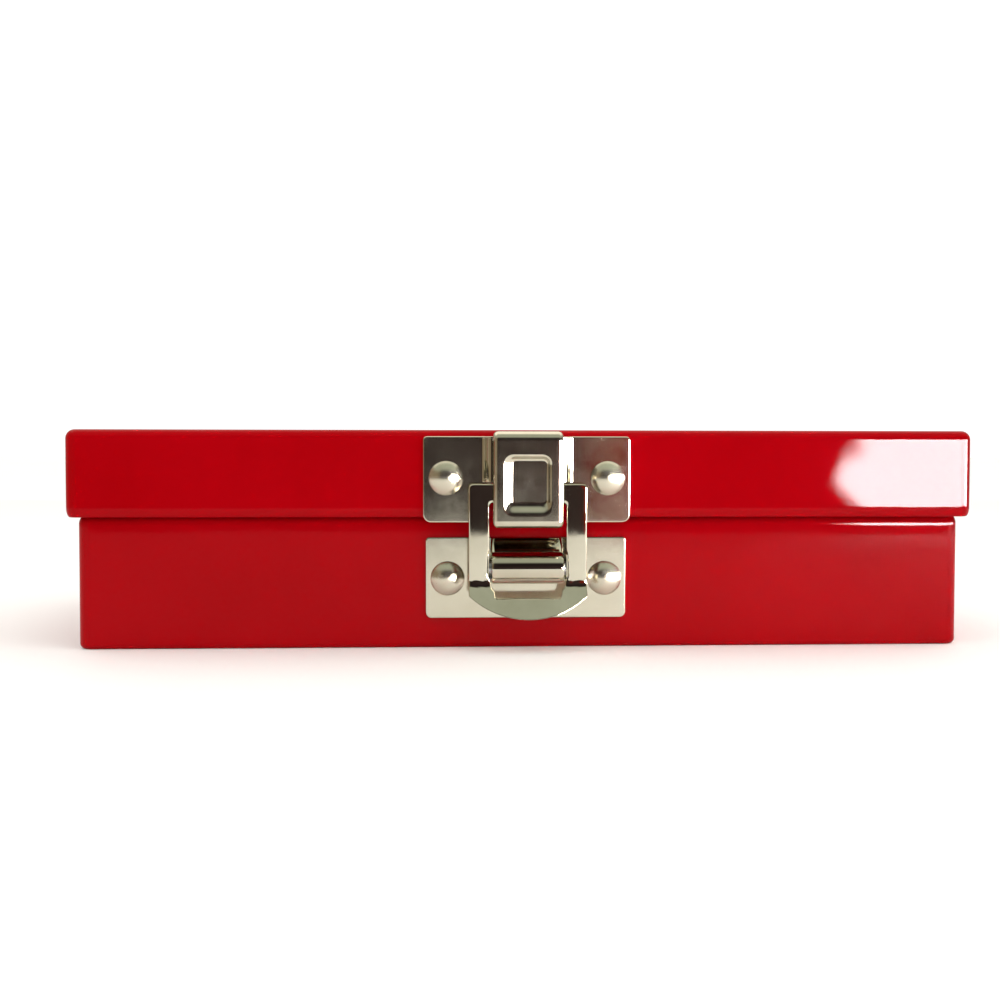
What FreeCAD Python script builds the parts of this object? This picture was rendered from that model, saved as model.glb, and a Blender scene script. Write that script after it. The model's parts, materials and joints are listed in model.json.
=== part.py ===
"""Small pressed-steel toolbox with a sliding inner tray, two rear hinges and a snap latch.

Row frame, millimetres: +X to the right along the front, +Y to the back, +Z up.
The origin is the centre of the underside of the base.
"""

import FreeCAD, Part
import math
import os

from FreeCAD import Vector

# ---------------------------------------------------------------- driving dimensions
# Box
LID_LENGTH = 200.0          # outside of the lid skirt, along X
LID_DEPTH = 110.0           # outside of the lid skirt, along Y
HEIGHT = 48.0               # underside of the base to top of the closed lid
SHEET = 0.8                 # steel sheet of base and lid
SKIRT_BOTTOM = 28.9         # lower edge of the closed lid's skirt
OVERHANG = 2.2              # lid skirt stands this far outside the base wall
CORNER_R = 3.0              # upright corners of lid and base
TOP_EDGE_R = 2.0            # rounded edge round the lid's top
FLOOR_EDGE_R = 1.2          # rounded edge round the base's underside
FLOOR_EDGE_INNER_R = 0.6
SHOULDER_Z = 27.1           # the base wall starts to roll in here, just under the lid's skirt
SHOULDER_RISE, SHOULDER_STEP = 1.9, 1.0
SHOULDER_FACETS = 4
COLLAR_TOP = 47.0           # top of the base wall, inside the lid
COLLAR_LEAN = 1.2           # the collar leans in this far between shoulder and top
HEM_HEIGHT = 4.0            # folded safety edge on base and lid
HEM_THICK = 0.8
HEM_INNER_R = 2.0           # upright corners inside the base's hem
SKIRT_EDGE_R = 1.2          # the lid's hem rounds under by this

# Latch, centred on the front
KEEPER_W, KEEPER_BOTTOM, KEEPER_TOP = 45.4, 27.8, 46.6
STRIKE_W, STRIKE_BOTTOM, STRIKE_TOP = 44.2, 6.6, 24.5
PLATE_T = 0.8
PLATE_EDGE_R = 0.4
KEEPER_CORNERS = (1.6, 1.6, 1.0, 1.0)   # lower left, lower right, upper right, upper left
STRIKE_CORNERS = (1.2, 1.2, 1.0, 1.0)
KEEPER_RIVET_X, KEEPER_RIVET_Z = 17.7, 37.5
STRIKE_RIVET_X, STRIKE_RIVET_Z = 17.3, 15.4
BRIDGE_HALF, BRIDGE_BOTTOM, BRIDGE_RAISE = 9.5, 36.9, 1.8
BRIDGE_SLOPE = 0.6          # how far the bridge's top narrows inside, as a share of the sheet
HOOD_W, HOOD_FRONT, HOOD_BOTTOM, HOOD_TOP = 15.2, 6.0, 26.8, 47.7
HOOD_FLANGE = 1.6           # the hood's side edges turn back this far
HOOD_EDGE_R = 1.2
HOOD_HEM_R = 1.4            # outer radius of the open hem at the hood's lower edge
HOOD_HEM_TOP = 31.8         # top of that hem's return, the ledge that holds the lever
LEDGE_INSET, LEDGE_GAP = 0.9, 0.15
POCKET_W, POCKET_Z0, POCKET_Z1, POCKET_DEEP = 10.3, 29.3, 42.7, 0.9
POCKET_FLOOR_W, POCKET_FLOOR_Z0, POCKET_FLOOR_Z1 = 7.1, 32.2, 41.5
POCKET_MOUTH_R, POCKET_FLOOR_R = 2.2, 0.7
LEVER_W, LEVER_T, LEVER_TOP = 25.7, 1.0, 36.3
LEVER_WINDOW_W, LEVER_WINDOW_TOP = 16.7, 32.2
LEVER_CORNER_R, LEVER_WINDOW_R, TAB_WINDOW_R = 0.8, 1.2, 0.8
LEVER_BACK = 3.15           # gap from the lid's front face to the back of the lever
TAB_FOLD_Z, TAB_TIP_Z = 15.6, 7.8
TAB_SIDE = 3.0              # straight part of the tab's sides, seen from the front
TAB_WINDOW_Z = 12.1
TAB_LEAN_DEG = 32.0
TAB_WINDOW_STEP = 0.4       # the window is narrower on the tab by this much each side
PIVOT_OUT, PIVOT_Z = 2.0, 17.9   # latch pivot: ahead of the lid's front face, and height
BARREL_R, BARREL_W = 3.4, 15.6
BARREL_LIP = 1.2            # the rolled barrel ends this far behind its axis
LATCH_PIN_R = 1.5
PIN_END_GAP = 0.1           # pins stand out this far before their heads
PIN_HEAD_T, PIN_HEAD_STEP = 0.8, 0.5
PIN_RELIEF = 2.0            # the bore runs on this far past the ears, to clear the pin's heads
SPRING_WIRE_R, SPRING_TURNS, SPRING_GAP = 0.4, 15, 0.08
SPRING_LEG_DROP, SPRING_LEG_GAP = 3.6, 0.02
TANG_CLEARANCE = 0.35
EAR_R, EAR_T = 3.2, 1.0
HEEL_GAP = 0.15             # the ears' heels stop this far from the lower plate

# Rivets
RIVET_HEAD_R, RIVET_HEAD_H, RIVET_SHANK_R = 3.75, 2.1, 1.8
RIVET_CLINCH_R, RIVET_CLINCH_H, RIVET_CLINCH_EDGE_R = 2.8, 0.9, 0.5
RIVET_BORE = 0.55           # radius of the tubular end's bore, as a share of the shank's
RIVET_BORE_DEEP = 1.2
HINGE_RIVET_HEAD_R, HINGE_RIVET_HEAD_H, HINGE_RIVET_SHANK_R = 3.0, 1.5, 1.5
HINGE_RIVET_CLINCH_R = 2.4
HOLE_CLEARANCE = 0.05
HOLE_REACH = 2.0

# Hinges
HINGE_X = 62.0              # centre of each hinge, left and right
HINGE_W = 32.0
HINGE_T = 0.85
KNUCKLE_R = 1.9
KNUCKLE_MID_HALF = 5.0      # half length of the middle knuckle, on the lid's leaf
KNUCKLE_GAP = 0.2
KNUCKLE_BITE = 0.2          # each leaf runs this far into its knuckle's wall
LEAF_GAP = 0.5              # between the lid's leaf and the base's knuckles
LEAF_CORNER_R, LEAF_TOE_R = 2.5, 0.6
JOG_GAP, JOG_DROP = 0.4, 2.6   # the base's leaf jogs out over JOG_DROP, under its knuckles
HINGE_Z = 26.7              # hinge axis height
HINGE_PIN_R = 1.0
LID_LEAF_TOP, BASE_LEAF_BOTTOM = 43.4, 8.6
HINGE_RIVET_X = 10.0
LID_LEAF_RIVET_Z, BASE_LEAF_RIVET_Z = 37.4, 14.6

# Tray and its rails
RAIL_Z, RAIL_T, RAIL_SHELF, RAIL_UPRIGHT = 20.0, 0.8, 6.5, 6.5
RAIL_LENGTH = 186.0
RAIL_BEND_R, RAIL_END_CHAMFER = 0.7, 0.3
TRAY_LENGTH, TRAY_DEPTH, TRAY_T = 122.0, 97.0, 0.7
TRAY_TOP = 40.0
TRAY_REST_X = -93.4         # left end of the tray at rest
TRAY_CORNER_R = 4.0
TRAY_FLOOR_R = 1.6
TRAY_RIM = 1.4              # thickness of the rim's rolled edge and the tray wall together
TRAY_RIM_HEIGHT, TRAY_RIM_R = 2.0, 0.6
DIVIDER_T, DIVIDER_GAP = 0.7, 0.1
DIVIDER_STEP = 40.5         # from the tray's left end to the first divider, and on to the second
DIVIDER_DROP = 3.0          # dividers stop this far below the tray's rim
FLANGE_W, FLANGE_INSET = 6.0, 2.5
PARTITION_T = 1.4           # folded double
PARTITION_TOP, PARTITION_DROP = 45.6, 1.0
PARTITION_GAP, PARTITION_CREST_R = 0.3, 0.6
HANDLE_HALF, HANDLE_FOOT, HANDLE_BEND_R = 36.0, 52.0, 5.0
FINGER_SLOT_L, FINGER_SLOT_H, FINGER_SLOT_BELOW = 56.0, 11.0, 3.0
FOOT_W, FOOT_INSET = 8.0, 8.0
PARTITION_RIVET_STEP = 37.0
TRAY_RIVET_R, TRAY_RIVET_HEAD_R, TRAY_RIVET_HEAD_H = 1.0, 1.9, 1.0
CLEAR_CORNER_R = 1.6        # lets partition and dividers clear the tray's rounded floor edge

# ---------------------------------------------------------------- derived planes
LID_FRONT, LID_BACK = -LID_DEPTH / 2, LID_DEPTH / 2
BASE_LENGTH, BASE_DEPTH = LID_LENGTH - 2 * OVERHANG, LID_DEPTH - 2 * OVERHANG
BASE_FRONT, BASE_BACK = -BASE_DEPTH / 2, BASE_DEPTH / 2
LEVER_BACK_Y = LID_FRONT - LEVER_BACK
LEVER_FRONT_Y = LEVER_BACK_Y - LEVER_T
PIVOT_Y = LID_FRONT - PIVOT_OUT
HINGE_Y = LID_BACK + KNUCKLE_R
TINY = 0.01
BIG = 400.0


# ---------------------------------------------------------------- helpers
def box(x0, x1, y0, y1, z0, z1):
    return Part.makeBox(x1 - x0, y1 - y0, z1 - z0, Vector(x0, y0, z0))


def rounded_wire(x0, x1, y0, y1, r, z):
    """Rectangle with rounded corners in a horizontal plane."""
    k = r * (1 - math.sqrt(0.5))
    corners = [
        (Vector(x1 - r, y0, z), Vector(x1 - k, y0 + k, z), Vector(x1, y0 + r, z)),
        (Vector(x1, y1 - r, z), Vector(x1 - k, y1 - k, z), Vector(x1 - r, y1, z)),
        (Vector(x0 + r, y1, z), Vector(x0 + k, y1 - k, z), Vector(x0, y1 - r, z)),
        (Vector(x0, y0 + r, z), Vector(x0 + k, y0 + k, z), Vector(x0 + r, y0, z)),
    ]
    edges = []
    for i, (start, mid, end) in enumerate(corners):
        edges.append(Part.Arc(start, mid, end).toShape())
        edges.append(Part.makeLine(end, corners[(i + 1) % 4][0]))
    return Part.Wire(edges)


def centred_wire(length, depth, r, z):
    return rounded_wire(-length / 2, length / 2, -depth / 2, depth / 2, r, z)


def ruled(*wires):
    return Part.makeLoft(list(wires), True, True)


def prism(length, depth, r, z0, z1):
    return ruled(centred_wire(length, depth, r, z0), centred_wire(length, depth, r, z1))


def edges_at(shape, axis, value, tol=1e-3):
    """Edges that lie wholly in the plane axis = value."""
    low, high = {"x": ("XMin", "XMax"), "y": ("YMin", "YMax"), "z": ("ZMin", "ZMax")}[axis]
    return [
        e for e in shape.Edges
        if abs(getattr(e.BoundBox, low) - value) < tol and abs(getattr(e.BoundBox, high) - value) < tol
    ]


def cylinder_x(r, x0, x1, y, z):
    return Part.makeCylinder(r, x1 - x0, Vector(x0, y, z), Vector(1, 0, 0))


def cylinder_y(r, y0, y1, x, z):
    return Part.makeCylinder(r, y1 - y0, Vector(x, y0, z), Vector(0, 1, 0))


def profile_yz(points, x0, x1):
    """Extrudes a closed polygon, given as (y, z) points, from x0 to x1."""
    wire = Part.makePolygon([Vector(x0, y, z) for y, z in points + points[:1]])
    return Part.Face(wire).extrude(Vector(x1 - x0, 0, 0))


def plate_xz(x0, x1, z0, z1, radii, y0, y1):
    """Upright plate; radii run lower left, lower right, upper right, upper left."""
    plate = box(x0, x1, y0, y1, z0, z1)
    places = [(x0, z0), (x1, z0), (x1, z1), (x0, z1)]
    for (x, z), r in zip(places, radii):
        found = [
            e for e in plate.Edges
            if abs(e.BoundBox.XMin - x) < TINY and abs(e.BoundBox.XMax - x) < TINY
            and abs(e.BoundBox.ZMin - z) < TINY and abs(e.BoundBox.ZMax - z) < TINY
        ]
        plate = plate.makeFillet(r, found)
    return plate


def fused(*shapes):
    whole = shapes[0].fuse(list(shapes[1:])) if len(shapes) > 1 else shapes[0]
    return whole.removeSplitter()


def rivet(x, z, face_y, inward, head_r, head_h, shank_r, clinch_r, grip):
    """Dome-headed rivet. face_y is the sheet's face under the head; inward is +1 or -1 along Y."""
    sphere_r = (head_r ** 2 + head_h ** 2) / (2 * head_h)
    centre = face_y + inward * (sphere_r - head_h)
    dome = Part.makeSphere(sphere_r, Vector(x, centre, z))
    outside = box(x - BIG, x + BIG, *sorted((face_y, face_y - inward * BIG)), z - BIG, z + BIG)
    head = dome.common(outside)
    inner_y = face_y + inward * grip
    end_y = inner_y + inward * RIVET_CLINCH_H
    shank = cylinder_y(shank_r, *sorted((face_y, end_y)), x, z)
    clinch = cylinder_y(clinch_r, *sorted((inner_y, end_y)), x, z)
    clinch = clinch.makeFillet(RIVET_CLINCH_EDGE_R, edges_at(clinch, "y", end_y))
    hollow = cylinder_y(shank_r * RIVET_BORE, *sorted((end_y, end_y - inward * RIVET_BORE_DEEP)), x, z)
    return fused(head, shank, clinch).cut(hollow)


def latch_rivet(x, z, face_y, grip):
    return rivet(x, z, face_y, 1, RIVET_HEAD_R, RIVET_HEAD_H, RIVET_SHANK_R, RIVET_CLINCH_R, grip)


def hinge_rivet(x, z, face_y, grip):
    return rivet(x, z, face_y, -1, HINGE_RIVET_HEAD_R, HINGE_RIVET_HEAD_H, HINGE_RIVET_SHANK_R,
                 HINGE_RIVET_CLINCH_R, grip)


def rivet_hole(r, x, z, face_y):
    """Cutter along Y through whatever sheet lies within HOLE_REACH of face_y."""
    return cylinder_y(r + HOLE_CLEARANCE, face_y - HOLE_REACH, face_y + HOLE_REACH, x, z)


# ---------------------------------------------------------------- base and lid
def base_envelope(inset):
    """Solid bounded by the base's outer skin moved in by inset."""
    radius = CORNER_R - inset

    def ring(step, z):
        return centred_wire(BASE_LENGTH - 2 * (inset + step), BASE_DEPTH - 2 * (inset + step), radius, z)

    low = ruled(ring(0, inset), ring(0, SHOULDER_Z))
    low = low.makeFillet(max(FLOOR_EDGE_R - inset, FLOOR_EDGE_INNER_R), edges_at(low, "z", inset))
    rise = SHOULDER_RISE - inset
    rings = []
    for i in range(SHOULDER_FACETS + 1):
        turn = math.pi / 2 * i / SHOULDER_FACETS
        rings.append(ring(SHOULDER_STEP * (1 - math.cos(turn)), SHOULDER_Z + rise * math.sin(turn)))
    collar = ruled(ring(SHOULDER_STEP, SHOULDER_Z + rise), ring(SHOULDER_STEP + COLLAR_LEAN, COLLAR_TOP))
    return low.fuse([ruled(*rings), collar])


def make_base_shell():
    shell = base_envelope(0.0).cut(base_envelope(SHEET))
    hem_inset = SHOULDER_STEP + COLLAR_LEAN + SHEET + HEM_THICK
    hem_outer = prism(BASE_LENGTH, BASE_DEPTH, CORNER_R, COLLAR_TOP - HEM_HEIGHT, COLLAR_TOP)
    hem_inner = prism(BASE_LENGTH - 2 * hem_inset, BASE_DEPTH - 2 * hem_inset, HEM_INNER_R,
                      COLLAR_TOP - HEM_HEIGHT - TINY, COLLAR_TOP + TINY)
    hem = hem_outer.cut(hem_inner).common(base_envelope(SHEET / 2))
    shell = fused(shell, hem)
    for side in (-1, 1):
        shell = shell.cut(rivet_hole(RIVET_SHANK_R, side * STRIKE_RIVET_X, STRIKE_RIVET_Z, BASE_FRONT))
        for offset in (-HINGE_RIVET_X, HINGE_RIVET_X):
            x = side * HINGE_X + offset
            shell = shell.cut(rivet_hole(HINGE_RIVET_SHANK_R, x, BASE_LEAF_RIVET_Z, BASE_BACK))
    return shell


def make_lid_shell():
    outer = prism(LID_LENGTH, LID_DEPTH, CORNER_R, SKIRT_BOTTOM, HEIGHT)
    outer = outer.makeFillet(TOP_EDGE_R, edges_at(outer, "z", HEIGHT))
    inner = prism(LID_LENGTH - 2 * SHEET, LID_DEPTH - 2 * SHEET, CORNER_R - SHEET,
                  SKIRT_BOTTOM - 1, HEIGHT - SHEET)
    inner = inner.makeFillet(TOP_EDGE_R - SHEET, edges_at(inner, "z", HEIGHT - SHEET))
    hem_t = SHEET + HEM_THICK
    hem = prism(LID_LENGTH, LID_DEPTH, CORNER_R, SKIRT_BOTTOM, SKIRT_BOTTOM + HEM_HEIGHT).cut(
        prism(LID_LENGTH - 2 * hem_t, LID_DEPTH - 2 * hem_t, CORNER_R - SHEET,
              SKIRT_BOTTOM - 1, SKIRT_BOTTOM + HEM_HEIGHT + 1))
    shell = fused(outer.cut(inner), hem)
    lower = edges_at(shell, "z", SKIRT_BOTTOM)
    outside = [e for e in lower if max(e.BoundBox.XMax, -e.BoundBox.XMin) > LID_LENGTH / 2 - SHEET / 2
               or max(e.BoundBox.YMax, -e.BoundBox.YMin) > LID_DEPTH / 2 - SHEET / 2]
    shell = shell.makeFillet(SKIRT_EDGE_R, outside)
    for side in (-1, 1):
        shell = shell.cut(rivet_hole(RIVET_SHANK_R, side * KEEPER_RIVET_X, KEEPER_RIVET_Z, LID_FRONT))
        for offset in (-HINGE_RIVET_X, HINGE_RIVET_X):
            x = side * HINGE_X + offset
            shell = shell.cut(rivet_hole(HINGE_RIVET_SHANK_R, x, LID_LEAF_RIVET_Z, LID_BACK))
    return shell


# ---------------------------------------------------------------- latch
def pocket_solid(grow, front_y, depth):
    """Tapered dent in the hood: wide at front_y, narrow at front_y + depth. grow offsets its sides."""
    def outline(w, z0, z1, r, y):
        flat = rounded_wire(-w / 2 - grow, w / 2 + grow, z0 - grow, z1 + grow, r, 0)
        turn = FreeCAD.Placement(Vector(0, y, 0), FreeCAD.Rotation(Vector(1, 0, 0), 90))
        return flat.transformGeometry(turn.toMatrix())
    mouth = outline(POCKET_W, POCKET_Z0, POCKET_Z1, POCKET_MOUTH_R, front_y)
    floor = outline(POCKET_FLOOR_W, POCKET_FLOOR_Z0, POCKET_FLOOR_Z1, POCKET_FLOOR_R, front_y + depth)
    return ruled(mouth, floor)


def make_keeper_plate():
    plate_front = LID_FRONT - PLATE_T
    wings = plate_xz(-KEEPER_W / 2, KEEPER_W / 2, KEEPER_BOTTOM, KEEPER_TOP, KEEPER_CORNERS,
                     plate_front, LID_FRONT)
    wings = wings.makeFillet(PLATE_EDGE_R, edges_at(wings, "y", plate_front))
    # The middle is cut away under the bridge, and hollow behind it.
    opening = box(-BRIDGE_HALF, BRIDGE_HALF, plate_front - 1, LID_FRONT + 1,
                  KEEPER_BOTTOM - 1, BRIDGE_BOTTOM)
    half_in = HOOD_W / 2

    def bridge_section(shrink):
        """Trapezium in plan: the sheet rises from the wings to the bridge's flat top."""
        top_y = plate_front - BRIDGE_RAISE + shrink
        base_y = LID_FRONT + (TINY if shrink else 0)
        return [
            (-BRIDGE_HALF + shrink, base_y), (-half_in + shrink * BRIDGE_SLOPE, top_y),
            (half_in - shrink * BRIDGE_SLOPE, top_y), (BRIDGE_HALF - shrink, base_y),
        ]

    def plan_prism(points, z0, z1):
        wire = Part.makePolygon([Vector(x, y, z0) for x, y in points + points[:1]])
        return Part.Face(wire).extrude(Vector(0, 0, z1 - z0))

    bridge = plan_prism(bridge_section(0.0), BRIDGE_BOTTOM, KEEPER_TOP)
    hollow = plan_prism(bridge_section(PLATE_T), BRIDGE_BOTTOM - 1, KEEPER_TOP - PLATE_T)
    bridge_back = plate_front - BRIDGE_RAISE + PLATE_T

    hood_front = LID_FRONT - HOOD_FRONT
    fold_r = (bridge_back - hood_front) / 2
    fold_y, fold_z = (bridge_back + hood_front) / 2, HOOD_TOP - fold_r
    fold = cylinder_x(fold_r, -half_in, half_in, fold_y, fold_z).cut(
        cylinder_x(fold_r - PLATE_T, -half_in - 1, half_in + 1, fold_y, fold_z))
    fold = fold.common(box(-BIG, BIG, -BIG, BIG, fold_z, BIG))
    riser = box(-half_in, half_in, bridge_back - PLATE_T, bridge_back, BRIDGE_BOTTOM, fold_z)

    hem_z = HOOD_BOTTOM + HOOD_HEM_R
    flange_y = hood_front + HOOD_FLANGE
    face = box(-half_in, half_in, hood_front, flange_y, hem_z, fold_z)
    upright = [e for e in edges_at(face, "y", hood_front) if e.BoundBox.ZLength > TINY]
    face = face.makeFillet(HOOD_EDGE_R, upright)
    inside = box(-half_in + PLATE_T, half_in - PLATE_T, hood_front + PLATE_T, flange_y + 1,
                 hem_z - 1, fold_z + 1)
    inner_edges = [e for e in edges_at(inside, "y", hood_front + PLATE_T) if e.BoundBox.ZLength > TINY]
    face = face.cut(inside.makeFillet(HOOD_EDGE_R - PLATE_T, inner_edges))

    hem_y = hood_front + HOOD_HEM_R
    hem = cylinder_x(HOOD_HEM_R, -half_in, half_in, hem_y, hem_z).cut(
        cylinder_x(HOOD_HEM_R - PLATE_T, -half_in - 1, half_in + 1, hem_y, hem_z))
    hem = hem.common(box(-BIG, BIG, -BIG, BIG, -BIG, hem_z))
    ledge_back = hood_front + 2 * HOOD_HEM_R
    ledge = box(-half_in + LEDGE_INSET, half_in - LEDGE_INSET, ledge_back - PLATE_T, ledge_back,
                hem_z, HOOD_HEM_TOP)

    hood = fused(fold, riser, face, hem, ledge)
    bump = pocket_solid(PLATE_T * 0.5, hood_front + PLATE_T * 0.5, POCKET_DEEP + PLATE_T * 0.5)
    behind_bump = bump.common(box(-half_in, half_in, hood_front + PLATE_T / 2, BIG, hem_z, fold_z))
    free_of_ledge = behind_bump.cut(
        box(-BIG, BIG, ledge_back - PLATE_T - LEDGE_GAP, BIG, -BIG, HOOD_HEM_TOP + LEDGE_GAP))
    hood = fused(hood, free_of_ledge).cut(pocket_solid(0.0, hood_front, POCKET_DEEP))

    plate = fused(wings.cut(opening), bridge).cut(hollow)
    keeper = fused(plate, hood)
    for side in (-1, 1):
        keeper = keeper.cut(cylinder_y(RIVET_SHANK_R + HOLE_CLEARANCE, plate_front - 1, LID_FRONT + 1,
                                       side * KEEPER_RIVET_X, KEEPER_RIVET_Z))
    return keeper


def make_strike_plate():
    """Lower latch plate with the rolled barrel that carries the lever's pin."""
    front = BASE_FRONT - PLATE_T
    plate = plate_xz(-STRIKE_W / 2, STRIKE_W / 2, STRIKE_BOTTOM, STRIKE_TOP, STRIKE_CORNERS,
                     front, BASE_FRONT)
    plate = plate.makeFillet(PLATE_EDGE_R, edges_at(plate, "y", front))
    half = BARREL_W / 2
    # The tongue folds forward at the plate's top edge and rolls down round the pivot.
    fy, fz, fr = front, STRIKE_TOP - PLATE_T, PLATE_T
    cy, cz = PIVOT_Y, PIVOT_Z
    gap, tilt = math.hypot(cy - fy, cz - fz), math.atan2(cz - fz, cy - fy)

    def tangent_side(small, large):
        """Quadrilateral between the two circles' centres and where their outer tangent touches them."""
        turn = tilt - math.acos((small - large) / gap)
        ny, nz = math.cos(turn), math.sin(turn)
        return [(fy, fz), (cy, cz), (cy + large * ny, cz + large * nz), (fy + small * ny, fz + small * nz)]

    outer = fused(profile_yz(tangent_side(fr, BARREL_R), -half, half),
                  cylinder_x(BARREL_R, -half, half, cy, cz), cylinder_x(fr, -half, half, fy, fz))
    inner_r = BARREL_R - PLATE_T
    void = cylinder_x(inner_r, -half - 1, half + 1, cy, cz).fuse(
        profile_yz(tangent_side(TINY, inner_r), -half - 1, half + 1))
    tongue = outer.cut(void)
    inner_touch = tangent_side(TINY, inner_r)[2]
    below = cz - BARREL_R - 1
    behind = [(fy + PLATE_T, fz - TINY), (fy + PLATE_T, below), (cy + BARREL_LIP, below),
              (cy + BARREL_LIP, cz), (cy, cz), inner_touch, (fy, fz - TINY)]
    tongue = tongue.cut(profile_yz(behind, -half - 1, half + 1))
    strike = fused(plate, tongue)
    for side in (-1, 1):
        strike = strike.cut(cylinder_y(RIVET_SHANK_R + HOLE_CLEARANCE, front - 1, BASE_FRONT + 1,
                                       side * STRIKE_RIVET_X, STRIKE_RIVET_Z))
    return strike


def make_lever():
    """Flat ring with side ears at the pivot, and a crescent finger tab bent out at its foot."""
    half, win = LEVER_W / 2, LEVER_WINDOW_W / 2
    ring = plate_xz(-half, half, TAB_FOLD_Z, LEVER_TOP, (TINY, TINY, LEVER_CORNER_R, LEVER_CORNER_R),
                    LEVER_FRONT_Y, LEVER_BACK_Y)
    window = plate_xz(-win, win, TAB_FOLD_Z - 1, LEVER_WINDOW_TOP,
                      (TINY, TINY, LEVER_WINDOW_R, LEVER_WINDOW_R), LEVER_FRONT_Y - 1, LEVER_BACK_Y + 1)
    ring = ring.cut(window)

    # The tab is drawn flat, hanging from the fold, then turned out about the fold line.
    stretch = 1 / math.cos(math.radians(TAB_LEAN_DEG))
    side_z = TAB_FOLD_Z - TAB_SIDE * stretch
    tip_z = TAB_FOLD_Z - (TAB_FOLD_Z - TAB_TIP_Z) * stretch
    outline = Part.Wire([
        Part.makeLine(Vector(half, LEVER_FRONT_Y, TAB_FOLD_Z), Vector(-half, LEVER_FRONT_Y, TAB_FOLD_Z)),
        Part.makeLine(Vector(-half, LEVER_FRONT_Y, TAB_FOLD_Z), Vector(-half, LEVER_FRONT_Y, side_z)),
        Part.Arc(Vector(-half, LEVER_FRONT_Y, side_z), Vector(0, LEVER_FRONT_Y, tip_z),
                 Vector(half, LEVER_FRONT_Y, side_z)).toShape(),
        Part.makeLine(Vector(half, LEVER_FRONT_Y, side_z), Vector(half, LEVER_FRONT_Y, TAB_FOLD_Z)),
    ])
    tab = Part.Face(outline).extrude(Vector(0, LEVER_T, 0))
    win_z = TAB_FOLD_Z - (TAB_FOLD_Z - TAB_WINDOW_Z) * stretch
    win_low = win - TAB_WINDOW_STEP
    tab = tab.cut(plate_xz(-win_low, win_low, win_z, TAB_FOLD_Z + 1,
                           (TAB_WINDOW_R, TAB_WINDOW_R, TINY, TINY), LEVER_FRONT_Y - 1, LEVER_BACK_Y + 1))
    tab.rotate(Vector(0, LEVER_BACK_Y, TAB_FOLD_Z), Vector(1, 0, 0), -TAB_LEAN_DEG)
    knee = cylinder_x(LEVER_T, -half, half, LEVER_BACK_Y, TAB_FOLD_Z).cut(
        box(-win_low, win_low, -BIG, BIG, -BIG, BIG))
    knee_y = LEVER_BACK_Y - 2 * LEVER_T
    knee = knee.common(profile_yz([
        (LEVER_BACK_Y, TAB_FOLD_Z), (knee_y, TAB_FOLD_Z),
        (knee_y, TAB_FOLD_Z - 2 * LEVER_T * math.tan(math.radians(TAB_LEAN_DEG)))], -BIG, BIG))

    parts = [ring, tab, knee]
    ear_root = LEVER_BACK_Y - LEVER_T / 2
    heel_y = BASE_FRONT - PLATE_T - HEEL_GAP
    for side in (-1, 1):
        x0, x1 = sorted((side * win, side * (win + EAR_T)))
        round_ear = cylinder_x(EAR_R, x0, x1, PIVOT_Y, PIVOT_Z).common(
            box(-BIG, BIG, ear_root, BIG, -BIG, BIG))
        heel = box(x0, x1, PIVOT_Y, heel_y, PIVOT_Z - EAR_R, PIVOT_Z)
        web = box(x0, x1, ear_root, PIVOT_Y, PIVOT_Z - EAR_R, PIVOT_Z + EAR_R)
        parts += [round_ear, heel, web]
    lever = fused(*parts)
    bore_end = win + EAR_T + PIN_RELIEF
    lever = lever.cut(cylinder_x(LATCH_PIN_R + HOLE_CLEARANCE, -bore_end, bore_end, PIVOT_Y, PIVOT_Z))
    tang_y, tang_z = spring_tang_place()
    return lever.cut(cylinder_x(SPRING_WIRE_R + TANG_CLEARANCE, -bore_end, -win + 1, tang_y, tang_z))


def spring_coil_r():
    return (LATCH_PIN_R + BARREL_R - PLATE_T) / 2


def spring_tang_place():
    """Where the spring's end passes through the lever's left ear, under the pivot."""
    return PIVOT_Y, PIVOT_Z - spring_coil_r()


def make_latch_pin():
    end = LEVER_WINDOW_W / 2 + EAR_T + PIN_END_GAP
    heads = []
    for side in (-1, 1):
        x0, x1 = sorted((side * end, side * (end + PIN_HEAD_T)))
        head = cylinder_x(LATCH_PIN_R + PIN_HEAD_STEP, x0, x1, PIVOT_Y, PIVOT_Z)
        heads.append(head.common(box(-BIG, BIG, LEVER_BACK_Y + HOLE_CLEARANCE, BIG, -BIG, BIG)))
    return fused(cylinder_x(LATCH_PIN_R, -end, end, PIVOT_Y, PIVOT_Z), *heads)


def make_latch_spring():
    """Torsion spring round the pin: a close coil, a leg on the plate, a tang in the lever's ear."""
    r = spring_coil_r()
    pitch = 2 * SPRING_WIRE_R + SPRING_GAP
    length = SPRING_TURNS * pitch
    coil = Part.makeHelix(pitch, length, r)
    place = FreeCAD.Placement(Vector(-length / 2, PIVOT_Y, PIVOT_Z), FreeCAD.Rotation(Vector(0, 1, 0), 90))
    coil.Placement = place
    start = coil.Edges[0].valueAt(coil.Edges[0].FirstParameter)
    first_dir = coil.Edges[0].tangentAt(coil.Edges[0].FirstParameter)
    circle = Part.Wire(Part.makeCircle(SPRING_WIRE_R, start, first_dir))
    body = Part.Wire(coil.Edges).makePipeShell([circle], True, True)
    tang_y, tang_z = spring_tang_place()
    tang_x = -LEVER_WINDOW_W / 2 - EAR_T
    tang = cylinder_x(SPRING_WIRE_R, tang_x, -length / 2 + SPRING_WIRE_R, tang_y, tang_z)
    last = coil.Edges[-1].valueAt(coil.Edges[-1].LastParameter)
    leg_end = Vector(last.x, BASE_FRONT - PLATE_T - SPRING_WIRE_R - SPRING_LEG_GAP,
                     PIVOT_Z - SPRING_LEG_DROP)
    leg = Part.makeCylinder(SPRING_WIRE_R, (leg_end - last).Length, last, leg_end - last)
    knob = Part.makeSphere(SPRING_WIRE_R, last)
    return fused(body, tang, leg, knob)


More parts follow.
